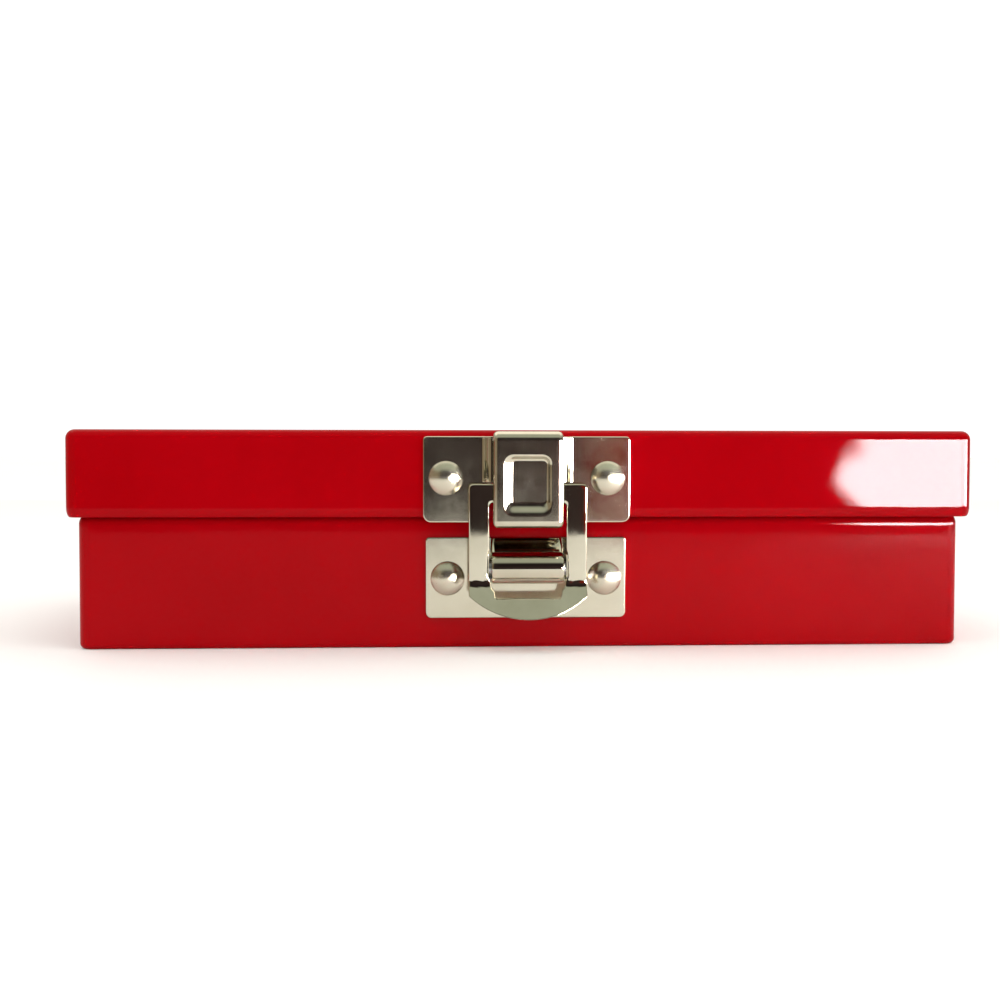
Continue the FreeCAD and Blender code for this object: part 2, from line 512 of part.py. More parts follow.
# ---------------------------------------------------------------- hinges
def knuckle(x0, x1):
    return cylinder_x(KNUCKLE_R, x0, x1, HINGE_Y, HINGE_Z).cut(
        cylinder_x(HINGE_PIN_R + HOLE_CLEARANCE, x0 - 1, x1 + 1, HINGE_Y, HINGE_Z))


def leaf_holes(leaf, cx, z, face_y):
    for offset in (-HINGE_RIVET_X, HINGE_RIVET_X):
        leaf = leaf.cut(rivet_hole(HINGE_RIVET_SHANK_R, cx + offset, z, face_y))
    return leaf


def make_lid_leaf(cx):
    half = HINGE_W / 2
    leaf = plate_xz(cx - half, cx + half, HINGE_Z + KNUCKLE_R + LEAF_GAP, LID_LEAF_TOP,
                    (LEAF_TOE_R, LEAF_TOE_R, LEAF_CORNER_R, LEAF_CORNER_R), LID_BACK, LID_BACK + HINGE_T)
    neck = box(cx - KNUCKLE_MID_HALF, cx + KNUCKLE_MID_HALF, LID_BACK, LID_BACK + HINGE_T,
               HINGE_Z, HINGE_Z + KNUCKLE_R + 1)
    roll = knuckle(cx - KNUCKLE_MID_HALF, cx + KNUCKLE_MID_HALF)
    leaf = leaf_holes(fused(leaf, neck), cx, LID_LEAF_RIVET_Z, LID_BACK)
    bite = cylinder_x(KNUCKLE_R - KNUCKLE_BITE, cx - half, cx + half, HINGE_Y, HINGE_Z)
    return fused(leaf.cut(bite), roll)


def make_base_leaf(cx):
    half = HINGE_W / 2
    jog_top = HINGE_Z - KNUCKLE_R - JOG_GAP
    jog_bottom = jog_top - JOG_DROP
    flat = plate_xz(cx - half, cx + half, BASE_LEAF_BOTTOM, jog_bottom,
                    (LEAF_CORNER_R, LEAF_CORNER_R, TINY, TINY), BASE_BACK, BASE_BACK + HINGE_T)
    jog = profile_yz([
        (BASE_BACK, jog_bottom), (BASE_BACK + HINGE_T, jog_bottom),
        (LID_BACK + HINGE_T, jog_top), (LID_BACK, jog_top)], cx - half, cx + half)
    rolls = []
    for side in (-1, 1):
        x0, x1 = sorted((cx + side * (KNUCKLE_MID_HALF + KNUCKLE_GAP), cx + side * half))
        rolls.append(box(x0, x1, LID_BACK, LID_BACK + HINGE_T, jog_top, HINGE_Z).cut(
            cylinder_x(KNUCKLE_R - KNUCKLE_BITE, x0 - 1, x1 + 1, HINGE_Y, HINGE_Z)))
        rolls.append(knuckle(x0, x1))
    leaf = fused(flat, jog, *rolls)
    return leaf_holes(leaf, cx, BASE_LEAF_RIVET_Z, BASE_BACK)


def make_hinge_pin(cx):
    end = HINGE_W / 2 + PIN_END_GAP
    pin = cylinder_x(HINGE_PIN_R, cx - end, cx + end, HINGE_Y, HINGE_Z)
    heads = [
        Part.makeCylinder(HINGE_PIN_R + PIN_HEAD_STEP, PIN_HEAD_T,
                          Vector(cx + side * end, HINGE_Y, HINGE_Z), Vector(side, 0, 0))
        for side in (-1, 1)
    ]
    return fused(pin, *heads)


def leaf_rivets(cx, z, face_y, grip):
    return Part.makeCompound([hinge_rivet(cx + offset, z, face_y, grip)
                              for offset in (-HINGE_RIVET_X, HINGE_RIVET_X)])


# ---------------------------------------------------------------- tray and rails
def make_rail(side):
    """Angle strip spot-welded inside the front (-1) or back (+1) wall; the tray slides on its shelf."""
    wall = side * (BASE_DEPTH / 2 - SHEET)
    shelf_y = wall - side * RAIL_SHELF
    upright_y = wall - side * RAIL_T
    half = RAIL_LENGTH / 2
    shelf = box(-half, half, *sorted((wall, shelf_y)), RAIL_Z, RAIL_Z + RAIL_T)
    upright = box(-half, half, *sorted((wall, upright_y)), RAIL_Z, RAIL_Z + RAIL_UPRIGHT)
    rail = fused(shelf, upright)
    bend = [e for e in rail.Edges if e.BoundBox.XLength > half
            and abs(e.BoundBox.ZMin - RAIL_Z) < TINY and abs(e.BoundBox.YMin - wall) < TINY]
    rail = rail.makeFillet(RAIL_BEND_R, bend)
    ends = [e for e in rail.Edges if e.BoundBox.ZLength < TINY and e.BoundBox.YLength > RAIL_SHELF / 2
            and abs(abs(e.BoundBox.XMin) - half) < TINY]
    return rail.makeChamfer(RAIL_END_CHAMFER, ends)


def tray_bounds():
    floor_z = RAIL_Z + RAIL_T + HOLE_CLEARANCE
    return TRAY_REST_X, TRAY_REST_X + TRAY_LENGTH, -TRAY_DEPTH / 2, TRAY_DEPTH / 2, floor_z


def make_tray_shell():
    x0, x1, y0, y1, z0 = tray_bounds()
    wall = TRAY_RIM - TRAY_T

    def block(inset, low, high, r):
        return ruled(rounded_wire(x0 + inset, x1 - inset, y0 + inset, y1 - inset, r, low),
                     rounded_wire(x0 + inset, x1 - inset, y0 + inset, y1 - inset, r, high))

    body = block(wall, z0, TRAY_TOP, TRAY_CORNER_R)
    body = body.makeFillet(TRAY_FLOOR_R, edges_at(body, "z", z0))
    hollow = block(wall + TRAY_T, z0 + TRAY_T, TRAY_TOP + 1, TRAY_CORNER_R - TRAY_T)
    hollow = hollow.makeFillet(TRAY_FLOOR_R - TRAY_T, edges_at(hollow, "z", z0 + TRAY_T))
    rim_foot = TRAY_TOP - TRAY_RIM_HEIGHT
    rim = block(0, rim_foot, TRAY_TOP, TRAY_CORNER_R + wall).cut(
        block(wall + TRAY_T / 2, rim_foot - 1, TRAY_TOP + 1, TRAY_CORNER_R))
    rim_edges = edges_at(rim, "z", TRAY_TOP) + edges_at(rim, "z", rim_foot)
    rim = rim.makeFillet(TRAY_RIM_R, [e for e in rim_edges
                                      if e.BoundBox.XMin < x0 + TINY or e.BoundBox.XMax > x1 - TINY
                                      or e.BoundBox.YMin < y0 + TINY or e.BoundBox.YMax > y1 - TINY])
    shell = fused(body.cut(hollow), rim)
    for x, y in partition_rivet_places():
        shell = shell.cut(partition_rivet_hole(x, y))
    return shell


def partition_rivet_places():
    x0, x1, _, _, _ = tray_bounds()
    mid = (x0 + x1) / 2
    return [(mid + offset, FOOT_W / 2) for offset in (-PARTITION_RIVET_STEP, 0, PARTITION_RIVET_STEP)]


def partition_rivet_hole(x, y):
    """Upright cutter through the tray's floor and the partition's foot."""
    z0 = tray_bounds()[4]
    return Part.makeCylinder(TRAY_RIVET_R + HOLE_CLEARANCE, 2 * TRAY_T + 2, Vector(x, y, z0 - 1))


def make_partition():
    """Lengthways partition that is also the tray's handle: folded sheet with a finger slot and a foot."""
    x0, x1, _, _, z0 = tray_bounds()
    floor = z0 + TRAY_T
    left, right = x0 + TRAY_RIM + PARTITION_GAP, x1 - TRAY_RIM - PARTITION_GAP
    mid = (left + right) / 2
    low = TRAY_TOP - PARTITION_DROP
    outline = [
        (left, floor), (right, floor), (right, low), (mid + HANDLE_FOOT, low),
        (mid + HANDLE_HALF, PARTITION_TOP), (mid - HANDLE_HALF, PARTITION_TOP),
        (mid - HANDLE_FOOT, low), (left, low),
    ]
    wire = Part.makePolygon([Vector(x, 0, z) for x, z in outline + outline[:1]])
    sheet = Part.Face(wire).extrude(Vector(0, PARTITION_T, 0))
    across = [e for e in sheet.Edges if e.BoundBox.XLength < TINY and e.BoundBox.ZLength < TINY]
    bends = [e for e in across if e.BoundBox.ZMin > low - TINY
             and abs(e.BoundBox.XMin - mid) < HANDLE_FOOT + TINY]
    sheet = sheet.makeFillet(HANDLE_BEND_R, bends)
    toes = [e for e in sheet.Edges if e.BoundBox.XLength < TINY and e.BoundBox.ZMax < floor + TINY]
    sheet = sheet.makeFillet(CLEAR_CORNER_R, toes)
    crest = [e for e in sheet.Edges if e.BoundBox.ZMin > PARTITION_TOP - TINY
             and e.BoundBox.XLength > HANDLE_HALF]
    sheet = sheet.makeFillet(PARTITION_CREST_R, crest)
    r = FINGER_SLOT_H / 2
    slot_half = FINGER_SLOT_L / 2 - r
    slot_z = PARTITION_TOP - FINGER_SLOT_BELOW - r
    slot = box(mid - slot_half, mid + slot_half, -1, PARTITION_T + 1, slot_z - r, slot_z + r).fuse([
        cylinder_y(r, -1, PARTITION_T + 1, mid - slot_half, slot_z),
        cylinder_y(r, -1, PARTITION_T + 1, mid + slot_half, slot_z)])
    foot = box(left + FOOT_INSET, right - FOOT_INSET, TRAY_T, FOOT_W, floor, floor + TRAY_T)
    whole = fused(sheet.cut(slot), foot)
    for x, y in partition_rivet_places():
        whole = whole.cut(partition_rivet_hole(x, y))
    return whole


def make_partition_rivets():
    z0 = tray_bounds()[4]
    top = z0 + 2 * TRAY_T
    sphere_r = (TRAY_RIVET_HEAD_R ** 2 + TRAY_RIVET_HEAD_H ** 2) / (2 * TRAY_RIVET_HEAD_H)
    rivets = []
    for x, y in partition_rivet_places():
        head = Part.makeSphere(sphere_r, Vector(x, y, top + TRAY_RIVET_HEAD_H - sphere_r)).common(
            box(x - BIG, x + BIG, y - BIG, y + BIG, top, BIG))
        foot = z0 + HOLE_CLEARANCE
        shank = Part.makeCylinder(TRAY_RIVET_R, top - foot, Vector(x, y, foot))
        rivets.append(fused(head, shank))
    return Part.makeCompound(rivets)


def make_divider(x):
    """Cross divider in the front half: a low sheet with a foot flange and an end flange."""
    _, _, y0, _, z0 = tray_bounds()
    floor = z0 + TRAY_T
    front = y0 + TRAY_RIM + DIVIDER_GAP
    back = -DIVIDER_GAP
    top = TRAY_TOP - DIVIDER_DROP
    sheet = box(x, x + DIVIDER_T, front, back, floor, top)
    corners = [e for e in sheet.Edges if e.BoundBox.YLength < TINY and e.BoundBox.ZLength < TINY
               and (e.BoundBox.ZMin > top - TINY or e.BoundBox.YMin < front + TINY)]
    sheet = sheet.makeFillet(CLEAR_CORNER_R, corners)
    foot = box(x, x + FLANGE_W, front + FLANGE_INSET, back - FLANGE_INSET, floor, floor + DIVIDER_T)
    end = box(x, x + FLANGE_W, front, front + DIVIDER_T, floor + FLANGE_INSET, top - FLANGE_INSET)
    return fused(sheet, foot, end)


# ---------------------------------------------------------------- all nodes
def nodes():
    x0 = tray_bounds()[0]
    made = {
        "base_shell": make_base_shell(),
        "lid_shell": make_lid_shell(),
        "tray_rail_front": make_rail(-1),
        "tray_rail_rear": make_rail(1),
        "tray_shell": make_tray_shell(),
        "tray_handle_partition": make_partition(),
        "tray_partition_rivets": make_partition_rivets(),
        "tray_divider_left": make_divider(x0 + DIVIDER_STEP),
        "tray_divider_right": make_divider(x0 + 2 * DIVIDER_STEP),
        "latch_keeper_plate": make_keeper_plate(),
        "latch_strike_plate": make_strike_plate(),
        "latch_lever": make_lever(),
        "latch_pin": make_latch_pin(),
        "latch_spring": make_latch_spring(),
    }
    grip = PLATE_T + SHEET
    for name, side in (("left", -1), ("right", 1)):
        made["latch_keeper_rivet_" + name] = latch_rivet(
            side * KEEPER_RIVET_X, KEEPER_RIVET_Z, LID_FRONT - PLATE_T, grip)
        made["latch_strike_rivet_" + name] = latch_rivet(
            side * STRIKE_RIVET_X, STRIKE_RIVET_Z, BASE_FRONT - PLATE_T, grip)
        cx = side * HINGE_X
        made["hinge_" + name + "_lid_leaf"] = make_lid_leaf(cx)
        made["hinge_" + name + "_base_leaf"] = make_base_leaf(cx)
        made["hinge_" + name + "_pin"] = make_hinge_pin(cx)
        made["hinge_" + name + "_lid_rivets"] = leaf_rivets(
            cx, LID_LEAF_RIVET_Z, LID_BACK + HINGE_T, HINGE_T + SHEET)
        made["hinge_" + name + "_base_rivets"] = leaf_rivets(
            cx, BASE_LEAF_RIVET_Z, BASE_BACK + HINGE_T, HINGE_T + SHEET)
    return made


def main():
    os.makedirs("parts", exist_ok=True)
    for name, shape in nodes().items():
        solids = len(shape.Solids)
        print(f"{name}: {solids} solid(s), {shape.Volume:.1f} mm3, valid {shape.isValid()}")
        shape.exportStep(os.path.join("parts", name + ".step"))


main()
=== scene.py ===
"""Looks for the pressed-steel toolbox.

Red stoved enamel on base, lid, tray and rails; nickel plate on latch and hinges; zinc plate on the
tray's partition and dividers.
"""

import json
import math

import bpy
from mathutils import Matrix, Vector


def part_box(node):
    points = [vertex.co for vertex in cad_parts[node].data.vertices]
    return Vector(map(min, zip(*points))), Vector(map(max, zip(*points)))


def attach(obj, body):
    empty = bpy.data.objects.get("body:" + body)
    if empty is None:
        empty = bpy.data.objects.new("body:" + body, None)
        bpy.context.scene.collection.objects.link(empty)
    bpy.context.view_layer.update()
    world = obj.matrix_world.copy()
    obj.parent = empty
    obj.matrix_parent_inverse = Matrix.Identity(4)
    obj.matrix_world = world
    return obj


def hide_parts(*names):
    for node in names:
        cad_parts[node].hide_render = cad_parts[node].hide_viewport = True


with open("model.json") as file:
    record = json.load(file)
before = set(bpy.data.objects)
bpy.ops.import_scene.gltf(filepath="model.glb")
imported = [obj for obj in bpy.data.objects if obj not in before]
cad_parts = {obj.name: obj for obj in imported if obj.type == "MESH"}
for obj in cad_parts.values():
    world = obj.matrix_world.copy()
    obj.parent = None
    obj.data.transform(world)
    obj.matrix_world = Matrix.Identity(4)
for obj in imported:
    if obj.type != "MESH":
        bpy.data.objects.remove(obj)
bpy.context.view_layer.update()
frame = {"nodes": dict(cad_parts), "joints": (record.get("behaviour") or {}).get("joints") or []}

MM = 0.001
SHEET = 0.8 * MM
LATCH_SHEET = 0.8 * MM
CUT_EDGE = 0.12 * MM        # rounding on a strip's cut edges
NUDGE = 0.1 * MM            # smallest step that is modelled, and overlap where pieces join
ARC_STEPS = 10
SMOOTH_ANGLE = 40.0         # degrees; sharper edges shade as creases
PRESSED_ANGLE = 60.0        # the same on pressed strips, whose fine facets turn further


# ---------------------------------------------------------------- outlines
def facing_arc(centre, radius, start, end, steps):
    """Arc points from start to end degrees, both included, each with its outward direction."""
    turns = [math.radians(start + (end - start) * i / steps) for i in range(steps + 1)]
    return [((centre[0] + radius * math.cos(t), centre[1] + radius * math.sin(t)),
             (math.cos(t), math.sin(t))) for t in turns]


def arc(centre, radius, start, end, steps=ARC_STEPS):
    """Points on an arc, angles in degrees, both ends included."""
    return [point for point, _ in facing_arc(centre, radius, start, end, steps)]


def rounded_rect(x0, x1, y0, y1, r):
    """Rounded rectangle, anticlockwise from the lower right corner."""
    r = max(min(r, (x1 - x0) / 2, (y1 - y0) / 2), 1e-5)
    return (arc((x1 - r, y0 + r), r, -90, 0) + arc((x1 - r, y1 - r), r, 0, 90)
            + arc((x0 + r, y1 - r), r, 90, 180) + arc((x0 + r, y0 + r), r, 180, 270))


def smooth_step(t):
    t = min(max(t, 0.0), 1.0)
    return t * t * (3 - 2 * t)


# ---------------------------------------------------------------- mesh helpers
def add_mesh(name, verts, faces, smooth_angle=SMOOTH_ANGLE):
    mesh = bpy.data.meshes.new(name)
    mesh.from_pydata([tuple(v) for v in verts], [], faces)
    mesh.validate()
    mesh.polygons.foreach_set("use_smooth", [True] * len(mesh.polygons))
    mesh.set_sharp_from_angle(angle=math.radians(smooth_angle))
    obj = bpy.data.objects.new(name, mesh)
    bpy.context.scene.collection.objects.link(obj)
    return obj


def settle_normals(obj):
    """Keeps big flats flat where a small rounding runs into them."""
    mod = obj.modifiers.new("even normals", "WEIGHTED_NORMAL")
    mod.keep_sharp = True
    mod.weight = 90
    return obj


def soften_edges(obj, width, angle):
    """Rounds the edges that turn by more than angle degrees."""
    bevel = obj.modifiers.new("soft edges", "BEVEL")
    bevel.width = width
    bevel.segments = 3
    bevel.limit_method = "ANGLE"
    bevel.angle_limit = math.radians(angle)
    bevel.use_clamp_overlap = True


def give_thickness(obj, thickness, angle):
    """Makes a skin into sheet, inward from its outer face, with softened cut edges."""
    solid = obj.modifiers.new("sheet", "SOLIDIFY")
    solid.thickness = thickness
    solid.offset = -1.0
    solid.use_even_offset = True
    soften_edges(obj, CUT_EDGE, angle)
    return settle_normals(obj)


def skin_rings(name, rings, first_cap=True):
    """Skins equal-length rings of 3-D points, in order, with a flat face on the last ring and,
    unless told otherwise, on the first."""
    n = len(rings[0])
    last = (len(rings) - 1) * n
    faces = []
    for a in range(0, last, n):
        faces += [(a + i, a + (i + 1) % n, a + n + (i + 1) % n, a + n + i) for i in range(n)]
    if first_cap:
        faces.append(tuple(range(n - 1, -1, -1)))
    faces.append(tuple(range(last, last + n)))
    return add_mesh(name, [point for ring in rings for point in ring], faces)


def pan(name, low, high, corner, profile):
    """Rounded-rectangle pan over the box low..high. profile lists (inset from the outline, height)
    along the section, from the flat outer face round the rim to the flat inner face."""
    rings = []
    for inset, z in profile:
        flat = rounded_rect(low.x + inset, high.x - inset, low.y + inset, high.y - inset,
                            corner - inset)
        rings.append([(x, y, z) for x, y in flat])
    return settle_normals(skin_rings(name, rings))


def turn(inset, z, across, up, start, end, steps):
    """Elliptical turn in a pan's profile about (inset, z): 0 degrees faces outward, 90 up."""
    return [(inset - across * c, z + up * s) for c, s in arc((0, 0), 1.0, start, end, steps)]


def prism(name, near, far, flip=False):
    """Solid between two matching outlines of 3-D points."""
    n = len(near)
    faces = [tuple(range(n)), tuple(range(2 * n - 1, n - 1, -1))]
    faces += [((i + 1) % n, i, n + i, n + (i + 1) % n) for i in range(n)]
    if flip:
        faces = [tuple(reversed(face)) for face in faces]
    return add_mesh(name, near + far, faces)


def plate(name, outline, y_front, y_back):
    """Upright plate from an (x, z) outline, with softened rims."""
    obj = prism(name, [(x, y_front, z) for x, z in outline], [(x, y_back, z) for x, z in outline])
    soften_edges(obj, PLATE_RIM, 50.0)
    return settle_normals(obj)


def plate_outline(half, low, top, low_r, top_r):
    """Latch plate's (x, z) outline, anticlockwise from the lower right corner."""
    return (arc((half - low_r, low + low_r), low_r, -90, 0, 8)
            + arc((half - top_r, top - top_r), top_r, 0, 90, 6)
            + arc((-half + top_r, top - top_r), top_r, 90, 180, 6)
            + arc((-half + low_r, low + low_r), low_r, 180, 270, 8))


def lathe(name, centre, out, profile, steps=48):
    """Turned piece on an axis along Y: profile lists (radius, distance along out)."""
    turns = [2 * math.pi * i / steps for i in range(steps)]
    rings = []
    for radius, along in profile:
        rings.append([(centre.x + radius * math.cos(t), centre.y + out * along,
                       centre.z - out * radius * math.sin(t)) for t in turns])
    return skin_rings(name, rings)


def rolled_across(half, roll, sink, columns):
    """A pressed strip's (x, how far the sheet sinks there), with both side edges rolled over."""
    edge = []
    for a in range(0, 90, 10):
        t = math.radians(a)
        edge.append((-half + roll * (1 - math.cos(t)), sink * (1 - math.sin(t))))
    flat = half - roll
    middle = [(-flat + 2 * flat * i / columns, 0.0) for i in range(columns + 1)]
    return edge + middle + [(-x, depth) for x, depth in reversed(edge)]


def pressed_strip(name, path, across, dent=None):
    """Skin along a path of ((y, z), outward direction) points; across comes from rolled_across.
    dent gives a further depth at (x, z) on the part that faces straight forward."""
    verts = []
    for (y, z), (ny, nz) in path:
        for x, sink in across:
            if dent and ny < -0.999:
                sink += dent(x, z)
            verts.append((x, y - ny * sink, z - nz * sink))
    n = len(across)
    faces = []
    for r in range(len(path) - 1):
        for a in range(r * n, r * n + n - 1):
            faces.append((a, a + n, a + n + 1, a + 1))
    return add_mesh(name, verts, faces, PRESSED_ANGLE)


def join(name, pieces, looks=None):
    """Joins finished pieces, modifiers applied, into one object. looks gives each its material."""
    depsgraph = bpy.context.evaluated_depsgraph_get()
    verts, faces, owner = [], [], []
    for number, piece in enumerate(pieces):
        mesh = piece.evaluated_get(depsgraph).to_mesh()
        start = len(verts)
        verts += [v.co.copy() for v in mesh.vertices]
        faces += [tuple(start + i for i in p.vertices) for p in mesh.polygons]
        owner += [number] * len(mesh.polygons)
        piece.to_mesh_clear()
    for piece in pieces:
        bpy.data.objects.remove(piece)
    whole = add_mesh(name, verts, faces)
    if looks:
        kinds = list(dict.fromkeys(looks))
        for look in kinds:
            whole.data.materials.append(look)
        for face, number in zip(whole.data.polygons, owner):
            face.material_index = kinds.index(looks[number])
    return settle_normals(whole)


# ---------------------------------------------------------------- material helpers
def new_material(name):
    mat = bpy.data.materials.new(name)
    mat.use_nodes = True
    tree = mat.node_tree
    bsdf = tree.nodes["Principled BSDF"]
    coords = tree.nodes.new("ShaderNodeTexCoord")
    return mat, tree, bsdf, coords.outputs["Object"]


def noise(tree, vector, scale, detail=2.0, rough=0.5, stretch=None):
    if stretch:
        mapping = tree.nodes.new("ShaderNodeMapping")
        mapping.inputs["Scale"].default_value = stretch
        tree.links.new(vector, mapping.inputs["Vector"])
        vector = mapping.outputs["Vector"]
    node = tree.nodes.new("ShaderNodeTexNoise")
    node.inputs["Scale"].default_value = scale
    node.inputs["Detail"].default_value = detail
    node.inputs["Roughness"].default_value = rough
    tree.links.new(vector, node.inputs["Vector"])
    return node.outputs["Fac"]


def spread(tree, value, low, high, from_low=0.3, from_high=0.7):
    """Maps a noise value onto low..high."""
    node = tree.nodes.new("ShaderNodeMapRange")
    node.inputs["From Min"].default_value = from_low
    node.inputs["From Max"].default_value = from_high
    node.inputs["To Min"].default_value = low
    node.inputs["To Max"].default_value = high
    tree.links.new(value, node.inputs["Value"])
    return node.outputs["Result"]


def two_tone(tree, factor, dark, light):
    node = tree.nodes.new("ShaderNodeMix")
    node.data_type = "RGBA"
    node.inputs["A"].default_value = (*dark, 1.0)
    node.inputs["B"].default_value = (*light, 1.0)
    tree.links.new(factor, node.inputs["Factor"])
    return node.outputs["Result"]


def set_surface(tree, bsdf, tone, colours, grain, rough):
    """Colour between two tones by one noise value, roughness between two values by another."""
    tree.links.new(two_tone(tree, tone, *colours), bsdf.inputs["Base Color"])
    tree.links.new(spread(tree, grain, *rough), bsdf.inputs["Roughness"])


def bumps(tree, bsdf, layers):
    """Stacks bump layers: (height value, distance in metres, strength)."""
    normal = None
    for height, distance, strength in layers:
        node = tree.nodes.new("ShaderNodeBump")
        node.inputs["Distance"].default_value = distance
        node.inputs["Strength"].default_value = strength
        tree.links.new(height, node.inputs["Height"])
        if normal:
            tree.links.new(normal, node.inputs["Normal"])
        normal = node.outputs["Normal"]
    tree.links.new(normal, bsdf.inputs["Normal"])
    return normal


# ---------------------------------------------------------------- materials
def red_enamel():
    """Stoved enamel: slow colour drift, orange peel, a faint wave in the sheet, a gloss coat."""
    mat, tree, bsdf, at = new_material("red stoved enamel")
    drift = spread(tree, noise(tree, at, scale=22.0, detail=3.0), 0.0, 1.0)
    set_surface(tree, bsdf, drift, ((0.302, 0.0004, 0.0024), (0.356, 0.0006, 0.0036)),
                noise(tree, at, scale=160.0, detail=4.0), (0.30, 0.42))
    bsdf.inputs["Specular IOR Level"].default_value = 0.0
    bsdf.inputs["Coat Weight"].default_value = 1.0
    bsdf.inputs["Coat Roughness"].default_value = 0.03
    bsdf.inputs["Coat IOR"].default_value = 1.15
    sheet_wave = (noise(tree, at, scale=26.0, detail=1.0), 0.5 * MM, 0.14)
    orange_peel = (noise(tree, at, scale=420.0, detail=1.0), 0.05 * MM, 0.06)
    tree.links.new(bumps(tree, bsdf, [sheet_wave, orange_peel]), bsdf.inputs["Coat Normal"])
    return mat


def nickel(name, rough, grain):
    """Bright nickel plate: warm, with faint polishing lines and handling haze."""
    mat, tree, bsdf, at = new_material(name)
    haze = spread(tree, noise(tree, at, scale=90.0, detail=5.0, rough=0.6), 0.0, 1.0)
    set_surface(tree, bsdf, haze, ((0.53, 0.495, 0.385), (0.61, 0.575, 0.465)),
                noise(tree, at, scale=210.0, detail=5.0, rough=0.65), rough)
    bsdf.inputs["Metallic"].default_value = 1.0
    ripple = (noise(tree, at, scale=150.0, detail=2.0), 0.05 * MM, 0.16)
    lines = (noise(tree, at, scale=900.0, detail=3.0, stretch=(1.0, 0.2, 0.06)), 0.01 * MM, grain)
    bumps(tree, bsdf, [ripple, lines])
    return mat


def zinc():
    """Bright zinc plate on sheet: spangle patches and a rolled grain."""
    mat, tree, bsdf, at = new_material("zinc plate")
    cells = tree.nodes.new("ShaderNodeTexVoronoi")
    cells.inputs["Scale"].default_value = 260.0
    tree.links.new(at, cells.inputs["Vector"])
    spangle = spread(tree, cells.outputs["Color"], 0.0, 1.0, from_low=0.0, from_high=1.0)
    grain = noise(tree, at, scale=700.0, detail=3.0, rough=0.6, stretch=(0.06, 1.0, 1.0))
    set_surface(tree, bsdf, spangle, ((0.50, 0.52, 0.54), (0.66, 0.68, 0.70)), grain, (0.24, 0.42))
    bsdf.inputs["Metallic"].default_value = 1.0
    bumps(tree, bsdf, [(grain, 0.02 * MM, 0.2)])
    return mat


def drawn_metal(name, colours, rough):
    """Drawn wire, pin and rivet stock: fine lines along the length, a little oil darkening."""
    mat, tree, bsdf, at = new_material(name)
    oil = spread(tree, noise(tree, at, scale=320.0, detail=3.0), 0.0, 1.0)
    grain = noise(tree, at, scale=1400.0, detail=3.0, rough=0.6, stretch=(0.1, 1.0, 1.0))
    set_surface(tree, bsdf, oil, colours, grain, rough)
    bsdf.inputs["Metallic"].default_value = 1.0
    bumps(tree, bsdf, [(grain, 0.02 * MM, 0.2)])
    return mat


def pale_floor():
    mat, tree, bsdf, at = new_material("pale studio floor")
    patches = noise(tree, at, scale=3.0, detail=2.0)
    tree.links.new(two_tone(tree, patches, (0.88, 0.87, 0.83), (0.91, 0.90, 0.865)),
                   bsdf.inputs["Base Color"])
    bsdf.inputs["Roughness"].default_value = 0.7
    return mat


ENAMEL = red_enamel()
NICKEL = nickel("bright nickel plate", (0.025, 0.05), grain=0.05)
PLATE_NICKEL = nickel("rolled nickel plate", (0.09, 0.15), grain=0.3)
RIVET_NICKEL = nickel("tumbled nickel plate", (0.21, 0.28), grain=0.10)
ZINC = zinc()
PIN_STEEL = drawn_metal("drawn pin steel", ((0.40, 0.40, 0.41), (0.52, 0.52, 0.53)), (0.22, 0.36))
SPRING_STEEL = drawn_metal("spring wire", ((0.22, 0.22, 0.23), (0.33, 0.33, 0.34)), (0.25, 0.4))
RIVET_METAL = drawn_metal("plain aluminium", ((0.66, 0.66, 0.67), (0.76, 0.76, 0.77)), (0.3, 0.45))


def finish_piece(obj, material, slot, body, *nodes):
    """Gives a finished piece its look (None keeps its own) and its body, and hides the CAD nodes it
    replaces.
    """
    if material:
        obj.data.materials.clear()
        obj.data.materials.append(material)
    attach(obj, body)
    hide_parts(*nodes)


# ---------------------------------------------------------------- lid and base
LID_LOW, LID_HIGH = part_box("lid_shell")
BASE_LOW, BASE_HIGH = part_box("base_shell")
CORNER = 3.0 * MM           # upright corners
WALL_EASE = 0.4 * MM        # a wall runs straight this far before it turns, so it shades flat
LID_EDGE = 2.0 * MM         # rounding round the lid's top
HEM = 1.6 * MM              # folded edge, two sheets thick
HEM_HEIGHT = 4.0 * MM
HEM_ROLL = 2.1 * MM         # the lid's lower edge curls in over this height
HEM_BREAK = 0.3 * MM        # broken corner on the folded-in edge
SHOULDER = 27.1 * MM        # the base wall starts to roll in here
SHOULDER_RISE = 1.9 * MM
SHOULDER_STEP = 1.0 * MM
COLLAR_LEAN = 1.2 * MM      # the collar leans in this far between shoulder and top
FLOOR_R = 1.2 * MM          # rounding round the base's underside


def build_lid():
    top, low = LID_HIGH.z, LID_LOW.z
    half_hem, hem_top = HEM / 2, low + HEM_HEIGHT
    inner = LID_EDGE - SHEET
    profile = [(LID_EDGE, top)]
    profile += turn(LID_EDGE, top - LID_EDGE, LID_EDGE, LID_EDGE, 82, 8, 8)
    profile += [(0.0, top - LID_EDGE), (0.0, low + HEM_ROLL + WALL_EASE)]
    profile += turn(half_hem, low + HEM_ROLL, half_hem, HEM_ROLL, 0, -90, 12)
    profile += turn(half_hem, low + half_hem, half_hem, half_hem, -105, -180, 6)
    profile += [(HEM, hem_top - HEM_BREAK), (HEM - HEM_BREAK, hem_top), (SHEET, hem_top)]
    profile += turn(SHEET + inner, top - SHEET - inner, inner, inner, 0, 90, 6)
    lid = pan("lid_skin", LID_LOW, LID_HIGH, CORNER, profile)
    finish_piece(lid, ENAMEL, "red_enamel", "lid", "lid_shell")


